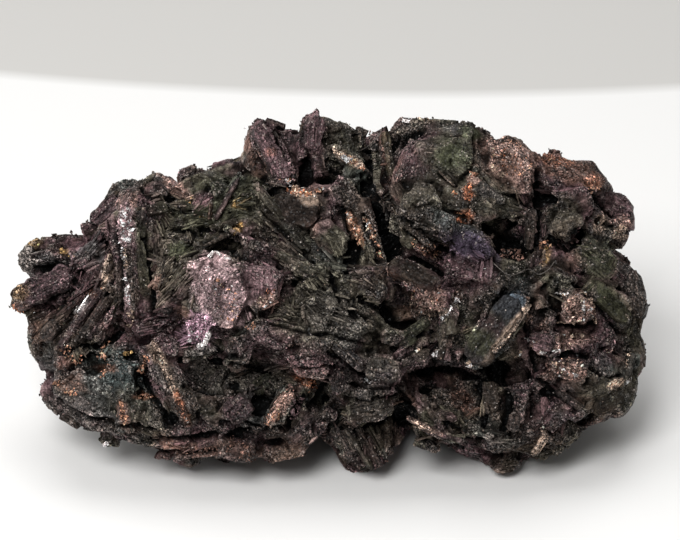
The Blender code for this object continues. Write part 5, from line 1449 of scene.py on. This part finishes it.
def octahedra(centre, radius, rng):
    """Rough little grains: (grains, 6, 3)."""
    count = len(centre)
    local = OCTAHEDRON[None] * rng.uniform(0.5, 1.2, (count, 6, 3)) * radius[:, None, None] * SHARD
    x = unit(rng.normal(size=(count, 3)))
    y = unit(np.cross(x, rng.normal(size=(count, 3))))
    return along_axes(local, x, y, np.cross(x, y)) + centre[:, None]


def add_grains(heap, points, tint, fleck, rng):
    heap.add(points, OCTA_FACES, tint[:, None], fleck, rng.uniform(0, STREAK_ROOM, points.shape))


def grain_chance(points, normals):
    """How likely a grain is to stay at each point: more so where the skin is crusted."""
    return 0.25 + nodular(points, normals)


def build_grains(rng):
    spots, normals = sites(GRAINS, grain_chance, GRAIN_LOWEST, GRAIN_GAP, rng)
    count = len(spots)
    radius = rng.uniform(*GRAIN_SIZE, count)
    centre = spots + normals * rng.uniform(*GRAIN_RAISED, count)[:, None]
    centre -= RIM_SUNK * normals * at_rim(normals)
    points = octahedra(centre, radius, rng)
    tint, fleck = paint(centre, normals)
    pale = rng.random(count) < fleck * 0.4
    tone = np.where(pale, rng.uniform(*PALE_GRAINS, count), rng.lognormal(-0.1, 0.4, count))
    tint = np.clip(tint * tone[:, None], DARKEST, BRIGHTEST_GRAIN)
    heap = Heap()
    add_grains(heap, points, tint, fleck[:, None], rng)
    heap.finish("grains")


def build_clusters(rng):
    heap = Heap()
    for name, u, v, length, width, heading, count, radius in CLUSTERS:
        angle = math.radians(heading)
        run = rng.uniform(-0.5, 0.5, count) * length
        side = rng.uniform(-0.5, 0.5, count) * width * np.sqrt(1 - 0.8 * (2 * run / length) ** 2)
        across = u + run * math.cos(angle) - side * math.sin(angle)
        up = v + run * math.sin(angle) + side * math.cos(angle)
        centre = np.array([SKIN.front(*place) for place in zip(across, up)])
        points = octahedra(centre, radius * rng.lognormal(-0.25, 0.4, count), rng)
        tint = albedo(name) * rng.lognormal(0.05, 0.6, count)[:, None]
        add_grains(heap, points, np.clip(tint, DARKEST, BRIGHTEST), CLUSTER_FLECK, rng)
    heap.finish("coloured_grains")


# ------------------------ the fibres

# Stray fibres: (colour, points along it as u, v).
FIBRES = [
    ("grey", (4.2, 19.6), (5.8, 20.4), (7, 21.6), (7.6, 23)),
    ("black", (24.6, 0.2), (26.2, 1), (28, 2.2), (30.4, 3.6)),
    ("grey", (22.4, 4.4), (24.3, 2.7), (25.6, 2.4), (27.6, 3.2), (29, 2.5), (30.2, 3), (31.3, 4.2)),
    ("black", (23.8, -12), (24.2, -13.2), (25.2, -13.5), (28, -13.4)),
    ("black", (19, -20.9), (20.8, -21.4), (22.5, -22)),
    ("grey", (23.5, -20.6), (25.4, -21.8), (28, -22.5)),
]
FIBRE_RADIUS = 0.07  # mm
FIBRE_CLEAR = 0.8  # mm above the skin
FIBRE_STEPS = 8
FIBRE_SIDES = 5


def fibre_path(line):
    """Points along a smooth line through those places, a little above the skin."""
    ends = [line[0], *line, line[-1]]
    path = []
    for a, b, c, d in zip(ends, ends[1:], ends[2:], ends[3:]):
        square, cube = 2 * a - 5 * b + 4 * c - d, 3 * b - a - 3 * c + d
        for t in np.arange(FIBRE_STEPS) / FIBRE_STEPS:
            path.append(b + 0.5 * t * (c - a + t * (square + t * cube)))
    path.append(line[-1])
    heights = np.array([SKIN.front(*place).z for place in path])
    for _ in range(4):
        heights[1:-1] = np.maximum(heights[1:-1], (heights[:-2] + heights[2:]) / 2)
    return np.column_stack([path, heights + FIBRE_CLEAR])


def build_fibres():
    heap = Heap()
    turn = np.arange(FIBRE_SIDES)[None, :, None] / FIBRE_SIDES * 2 * math.pi
    for name, *line in FIBRES:
        path = fibre_path(np.array(line))
        run = unit(np.gradient(path, axis=0))
        side = unit(np.cross(run, (0, 0, 1)))
        ring = np.cos(turn) * side[:, None] + np.sin(turn) * np.cross(side, run)[:, None]
        points = (path[:, None] + FIBRE_RADIUS * ring).reshape(1, -1, 3)
        heap.add(points, bar_faces(len(path), FIBRE_SIDES, False), albedo(name), 0.0, points)
    heap.finish("fibres")


# ------------------------ the studio

FLOOR_HALF = 3.0  # m
PAPER_EDGE = 0.0933  # m behind the specimen, where the white sheet ends
PAPER_TURN = 0.015  # m to the right, where the sheet's curved edge comes nearest
PAPER_CURVE = 1.5  # 1/m, how fast the edge draws back to either side of that
PAPER_BLUR = (0.0015, 0.002)  # m, how far its colour fades out before the edge and behind it
PAPER_COLOUR = (0.74, 0.735, 0.725, 1)
BEHIND_COLOUR = (0.515, 0.505, 0.487, 1)
LIT_PLACE = (0, 0, 0.02)  # m, what the lights point at
# The lights: (name, place in m, watts, size in m).
LIGHTS = [
    ("key", (-0.16, -0.38, 0.50), 3.6, 0.30),
    ("top", (-0.02, 0.20, 0.66), 2.6, 0.45),
    ("left", (-0.50, -0.10, 0.35), 1.0, 0.4),
]
WORLD_COLOUR = (1, 0.99, 0.97, 1)
WORLD_STRENGTH = 0.22


def paper():
    """White in front of the sheet's curved edge, and greyer behind it."""
    graph = Graph("paper")
    x, y, _ = graph.add("ShaderNodeSeparateXYZ", {0: graph.place}).outputs
    aside = graph.calc("SUBTRACT", x, PAPER_TURN)
    past = graph.calc("SUBTRACT", y, graph.product(aside, aside, PAPER_CURVE))
    near, far = PAPER_BLUR
    behind = graph.spread(past, PAPER_EDGE - near, PAPER_EDGE + far, 0.0, 1.0)
    graph.plug(graph.mixed(behind, PAPER_COLOUR, BEHIND_COLOUR), graph.surface["Base Color"])
    graph.plug(0.85, graph.surface["Roughness"])
    return graph.material


def build_floor():
    corners = [(x * FLOOR_HALF, y * FLOOR_HALF, 0) for x, y in ((-1, -1), (1, -1), (1, 1), (-1, 1))]
    mesh = bpy.data.meshes.new("floor")
    mesh.from_pydata(corners, [], [(0, 1, 2, 3)])
    mesh.materials.append(paper())
    in_scene("floor", mesh)


def area_light(name, place, energy, size):
    light = bpy.data.lights.new(name, "AREA")
    light.energy = energy
    light.size = size
    made = in_scene(name, light)
    made.location = place
    made.rotation_euler = (Vector(place) - Vector(LIT_PLACE)).to_track_quat("Z", "Y").to_euler()


def build_studio():
    build_floor()
    for light in LIGHTS:
        area_light(*light)
    world = bpy.data.worlds.new("studio")
    bpy.context.scene.world = world
    world.use_nodes = True
    background = world.node_tree.nodes["Background"].inputs
    background["Color"].default_value = WORLD_COLOUR
    background["Strength"].default_value = WORLD_STRENGTH
    bpy.context.scene.view_settings.view_transform = "Standard"


VIEW_AIM = (1.68, 3.08, 0)  # mm, the place of the face at the picture's middle
VIEW_DISTANCE = 661  # mm
LENS = 250  # mm
SENSOR = 36  # mm


def build_camera():
    data = bpy.data.cameras.new("camera")
    data.lens = LENS
    data.sensor_width = SENSOR
    data.clip_start = 0.01
    camera = in_scene("camera", data)
    out = Vector(FACE_AXES[2])
    camera.location = Vector(to_row([VIEW_AIM])[0] * MM) + out * VIEW_DISTANCE * MM
    camera.rotation_euler = out.to_track_quat("Z", "Y").to_euler()
    bpy.context.scene.camera = camera


# ------------------------ the whole

SEED = 20


def main():
    rng = np.random.default_rng(SEED)
    build_mass(Mosaic(SKIN, rng), rng)
    build_blocks(rng)
    build_crystals(rng)
    build_felt(rng)
    build_grains(rng)
    build_clusters(rng)
    build_fibres()
    build_studio()
    build_camera()


main()
